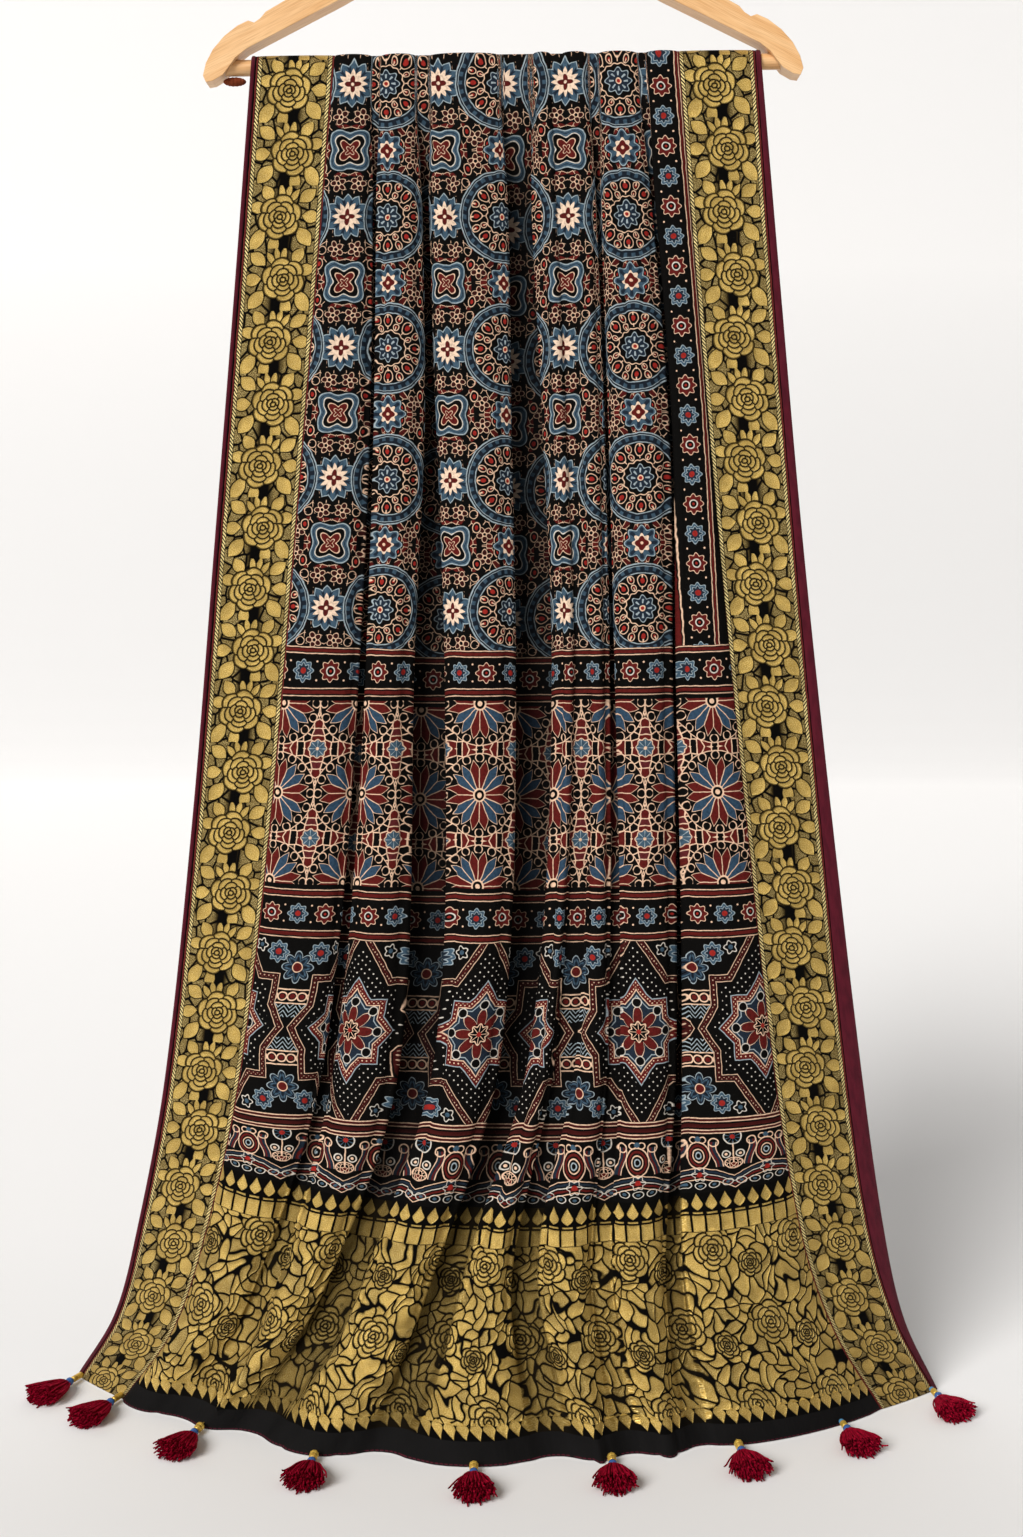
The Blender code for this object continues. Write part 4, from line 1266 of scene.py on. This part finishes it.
for side in ("left", "right"):
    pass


# The tassels: where each hangs along the hem (mm from the bar's middle), its heading in degrees
# from -Y toward +X, and the beads on its neck
TASSELS = (
    (-336, -28, "tube"),
    (-297, -25, "tube"),
    (-226, -17, "ball"),
    (-137, -5, "ball"),
    (-21, 1, "ball"),
    (79, 1, "ball"),
    (173, 6, "ball"),
    (255, 11, "three"),
    (335, 13, "three"),
)
NECK = 23.5
STRANDS = 230
STRAND_REACH = 35.0


def tubes(paths, radii, sides):
    """Tubes round many paths of equal length: points, faces, and flat coordinates of each corner."""
    count, steps = paths.shape[:2]
    run = np.gradient(paths, axis=1)
    run /= np.linalg.norm(run, axis=2, keepdims=True)
    side = np.cross(run, (0.02, 0.03, 1.0))
    side /= np.linalg.norm(side, axis=2, keepdims=True)
    over = np.cross(side, run)
    turn = np.arange(sides) * 2 * math.pi / sides
    ring = side[:, :, None] * np.cos(turn)[:, None] + over[:, :, None] * np.sin(turn)[:, None]
    points = paths[:, :, None] + ring * radii[:, :, None, None]
    index = np.arange(count * steps * sides).reshape(count, steps, sides)
    after = np.roll(index, -1, axis=2)
    faces = np.stack((index[:, :-1], after[:, :-1], after[:, 1:], index[:, 1:]), axis=-1).reshape(-1, 4)
    length = np.linalg.norm(np.diff(paths, axis=1), axis=2)
    length = np.concatenate((np.zeros((count, 1)), np.cumsum(length, axis=1)), axis=1)
    u = np.broadcast_to(np.arange(sides) * 1.9 / sides, (count, steps, sides))
    v = np.broadcast_to(length[:, :, None] + np.arange(count)[:, None, None] * 1.7, (count, steps, sides))
    low, high = u[:, :-1], u[:, :-1] + 1.9 / sides
    corners = ((low, v[:, :-1]), (high, v[:, :-1]), (high, v[:, 1:]), (low, v[:, 1:]))
    flat = np.stack([np.stack(pair, axis=-1) for pair in corners], axis=3)
    return points.reshape(-1, 3), faces, flat.reshape(-1, 2)


def round_bead(start, radius, least, count):
    """A round bead's profile, from where it starts, with least the radius of its hole."""
    turns = np.linspace(0, math.pi, count)
    return [(start + radius - radius * math.cos(a), max(least, radius * math.sin(a))) for a in turns]


def bead_string(kind):
    """The beads of a neck as (material number, profile of distance from the hem and radius, sides)."""
    blue = round_bead(11.6, 3.3, 0.9, 9)
    if kind == "ball":
        gold = [(2.4, 1.0), (3.2, 2.8), (4.8, 3.5), (6.4, 3.1), (6.9, 2.7)]
        gold += [(7.4, 3.1), (9.2, 3.3), (10.8, 2.2), (11.3, 1.0)]
        return [(1, gold, 9), (2, blue, 14)]
    start = 5.2 if kind == "three" else 0.8
    places = np.linspace(start, 11.4, 17)
    gold = [(place, 2.55 if k % 2 else 2.2) for k, place in enumerate(places)]
    gold = [(start - 0.1, 1.0)] + gold + [(11.5, 1.0)]
    beads = [(1, gold, 10), (2, blue, 14)]
    if kind == "three":
        beads.append((3, round_bead(0.8, 2.2, 0.8, 7), 12))
    return beads


def tassel_mesh(name, kind, seed):
    """One tassel lying along -Y with its neck's end at the origin, in millimetres."""
    random = np.random.default_rng(seed)
    number = np.arange(STRANDS)
    reach = np.sqrt((number + 0.5) / STRANDS)
    turn = number * 2.39996 + random.uniform(-0.2, 0.2, STRANDS)
    u, v = reach * np.cos(turn), reach * np.sin(turn)
    share = np.array((0.0, 0.05, 0.14, 0.3, 0.5, 0.7, 0.84, 0.93, 1.0))
    start, length = NECK - 5.0, STRAND_REACH
    wide = 1.9 + 14.2 * share**0.58
    high = 1.9 + 5.0 * share**0.5
    middle = 4.6 + 2.9 * share**0.7
    far = length * (1 - 0.14 * u * u - 0.07 * (v + 1) + random.uniform(-0.05, 0.05, STRANDS))
    paths = np.zeros((STRANDS, len(share), 3))
    paths[..., 0] = wide * u[:, None]
    paths[..., 1] = -start - far[:, None] * share
    paths[..., 2] = middle + high * v[:, None]
    lean = random.normal(0, 1, (STRANDS, 1, 3)) * (share[:, None] ** 1.5) * 0.6
    curl = random.normal(0, 1, (STRANDS, 1, 3)) * (np.clip(share - 0.78, 0, 1)[:, None] * 5.0) ** 2 * 0.6
    wave = np.sin(share * 9 + random.uniform(0, 6, (STRANDS, 1)))[..., None] * share[:, None] * 0.35
    paths += lean + curl + wave
    for stray in range(4):
        paths[-1 - stray, :, 0] *= 1.10 + 0.03 * stray
    radii = np.full((STRANDS, len(share)), 0.66)
    radii[:, -1] = 0.52
    radii[:, 0] = 0.5
    paths[..., 2] = np.maximum(paths[..., 2], 0.7)
    parts = [(0, *tubes(paths, radii, 5))]
    knot = round_bead(NECK - 5.4, 2.6, 0.7, 7)
    cord = [(-1.6, 0.55), (8.0, 0.55), (20.0, 0.55)]
    for slot, profile, sides in [(0, knot, 12), (1, cord, 6)] + bead_string(kind):
        line = np.array([[(0.0, -place, 4.6) for place, _ in profile]])
        parts.append((slot, *tubes(line, np.array([[radius for _, radius in profile]]), sides)))
    points, faces, flat, slots, smooth_faces = [], [], [], [], []
    first = 0
    for slot, some, quads, corners in parts:
        points.append(some)
        faces.append(quads + first)
        flat.append(corners)
        slots.append(np.full(len(quads), slot))
        smooth_faces.append(np.full(len(quads), not (slot == 1 and kind == "ball")))
        first += len(some)
    mesh = bpy.data.meshes.new(name)
    mesh.from_pydata((np.concatenate(points) * MM).tolist(), [], np.concatenate(faces).tolist())
    weave = mesh.uv_layers.new(name="weave")
    weave.data.foreach_set("uv", (np.concatenate(flat) * MM).reshape(-1).astype(np.float32))
    mesh.polygons.foreach_set("material_index", np.concatenate(slots).astype(np.int32))
    mesh.polygons.foreach_set("use_smooth", np.concatenate(smooth_faces))
    mesh.update()
    return mesh


def hem_at(x):
    """How far forward the hem's face stands at x."""
    fall = np.array([0.9965])
    left, right = field_edge("left", fall), field_edge("right", fall)
    w = (x - left) / (right - left)
    if w[0] < 0 or w[0] > 1:
        return front(np.array([x]), None, fall, 0.5 * MM)[0, 1]
    return front(np.array([x]), w, fall)[0, 1]


dress = (
    yarn_material(),
    bead_material("bead_gold", rgb(236, 198, 92), rgb(160, 112, 34), 0.6, 0.38),
    bead_material("bead_blue", rgb(52, 92, 152), rgb(22, 40, 84), 0.0, 0.2),
    bead_material("bead_pale", rgb(78, 134, 172), rgb(40, 80, 116), 0.0, 0.2),
)
for number, (place, heading, kind) in enumerate(TASSELS, start=1):
    mesh = tassel_mesh(f"yarn_{number}", kind, number)
    for made in dress:
        mesh.materials.append(made)
    tassel = placed(f"yarn_tassel_{number}", mesh)
    turn = math.radians(heading)
    clear = 1.4 * MM
    tassel.location = (
        BAR_X + place * MM + math.sin(turn) * clear,
        hem_at(place * MM) - math.cos(turn) * clear,
        FLOOR_Z,
    )
    tassel.rotation_euler.z = turn
    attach(tassel, "root")
    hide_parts(f"tassel_{number}")

# The hanger keeps its solids, in better materials
for node, made in (
    ("hanger_body", wood_material("wood_arms", math.radians(26))),
    ("hanger_bar", wood_material("wood_bar", 0.0)),
    ("hanger_hook", steel_material()),
    ("hanger_thread", thread_material()),
):
    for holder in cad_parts[node].material_slots:
        holder.material = made


KEY_TOWARD, KEY_POWER, AIR_POWER = (0.56, 0.78, -0.62), 3.35, 0.30
KEY_WIDTH = 30
# The paper: how bright it looks, where its floor ends, the radius of its curve and its height
PAPER_SHINES = 0.79
PAPER_FLOOR, PAPER_CURVE, PAPER_TOP = 3.6, 1.6, 7.0
# Its columns, each with a tone: lighter toward the key light. The floor near the camera is a little darker
PAPER_COLUMNS = {-16.0: 1.10, -4.0: 1.10, 4.0: 0.90, 16.0: 0.90}
NEAR_FROM, NEAR_TO, NEAR_TONE = -0.7, 0.3, 0.88
# The camera, as fitted to the photo of 1023 by 1537 pixels
CAMERA_PLACE, CAMERA_TILT = (0.00885, -1.45, -0.557), 83.0
FRAME_HEIGHT, FOCAL_PIXELS, PHOTO_HEIGHT = 36.0, 1882, 1537


def paper_material():
    """Pale paper, toned along its curve so that it looks even under the key light."""
    made = bpy.data.materials.new("studio_paper")
    made.use_nodes = True
    shader = made.node_tree.nodes["Principled BSDF"]
    shader.inputs["Roughness"].default_value = 0.95
    shader.inputs["Specular IOR Level"].default_value = 0.0
    tone = made.node_tree.nodes.new("ShaderNodeAttribute")
    tone.attribute_name = "tone"
    made.node_tree.links.new(tone.outputs["Color"], shader.inputs["Base Color"])
    return made


def studio():
    """A pale floor that curves up behind, one soft light and the camera."""
    profile = [(-14.0, 0.0), (NEAR_FROM, 0.0), (NEAR_TO, 0.0), (PAPER_FLOOR, 0.0)]
    for turn in np.linspace(0.1, math.pi / 2, 16):
        profile.append((PAPER_FLOOR + PAPER_CURVE * math.sin(turn), PAPER_CURVE * (1 - math.cos(turn))))
    profile.append((PAPER_FLOOR + PAPER_CURVE, PAPER_TOP))
    corners = [(x, y, FLOOR_Z + z) for y, z in profile for x in PAPER_COLUMNS]
    faces = [(k, k + 1, k + 5, k + 4) for k in range(len(corners) - 4) if k % 4 < 3]
    mesh = bpy.data.meshes.new("studio_floor")
    mesh.from_pydata(corners, [], faces)
    mesh.polygons.foreach_set("use_smooth", np.ones(len(faces), bool))
    floor = placed("studio_floor", mesh)
    light = np.array(KEY_TOWARD) / np.linalg.norm(KEY_TOWARD)
    slope = np.gradient(np.array(profile), axis=0)
    across = np.stack((-slope[:, 1], slope[:, 0]), axis=1) / np.linalg.norm(slope, axis=1)[:, None]
    falls = -(across[:, 0] * light[1] + across[:, 1] * light[2])
    near = np.interp(np.array(profile)[:, 0], (NEAR_FROM, NEAR_TO), (NEAR_TONE, 1.0))
    tones = np.repeat(near * PAPER_SHINES / (AIR_POWER + KEY_POWER * falls / math.pi), len(PAPER_COLUMNS))
    tones = tones * np.tile(tuple(PAPER_COLUMNS.values()), len(profile))
    tint = np.stack((tones, tones * 0.990, tones * 0.980, np.ones_like(tones)), axis=1)
    tone = mesh.attributes.new("tone", "FLOAT_COLOR", "POINT")
    tone.data.foreach_set("color", tint.reshape(-1).astype(np.float32))
    mesh.materials.append(paper_material())
    world = bpy.data.worlds.new("studio_air")
    world.use_nodes = True
    world.node_tree.nodes["Background"].inputs["Color"].default_value = (1.0, 0.99, 0.98, 1)
    world.node_tree.nodes["Background"].inputs["Strength"].default_value = AIR_POWER
    bpy.context.scene.world = world
    lamp = bpy.data.lights.new("key", "SUN")
    lamp.angle, lamp.energy, lamp.color = math.radians(KEY_WIDTH), KEY_POWER, (1.0, 0.985, 0.97)
    placed("key", lamp).rotation_euler = Vector(KEY_TOWARD).to_track_quat("-Z", "Y").to_euler()
    camera = bpy.data.cameras.new("camera")
    camera.sensor_fit, camera.sensor_height = "VERTICAL", FRAME_HEIGHT
    camera.lens = FOCAL_PIXELS / PHOTO_HEIGHT * FRAME_HEIGHT
    seen = placed("camera", camera)
    seen.location = CAMERA_PLACE
    seen.rotation_euler = Euler((math.radians(CAMERA_TILT), 0, 0))
    bpy.context.scene.camera = seen


studio()
bpy.context.scene.view_settings.view_transform = "Standard"
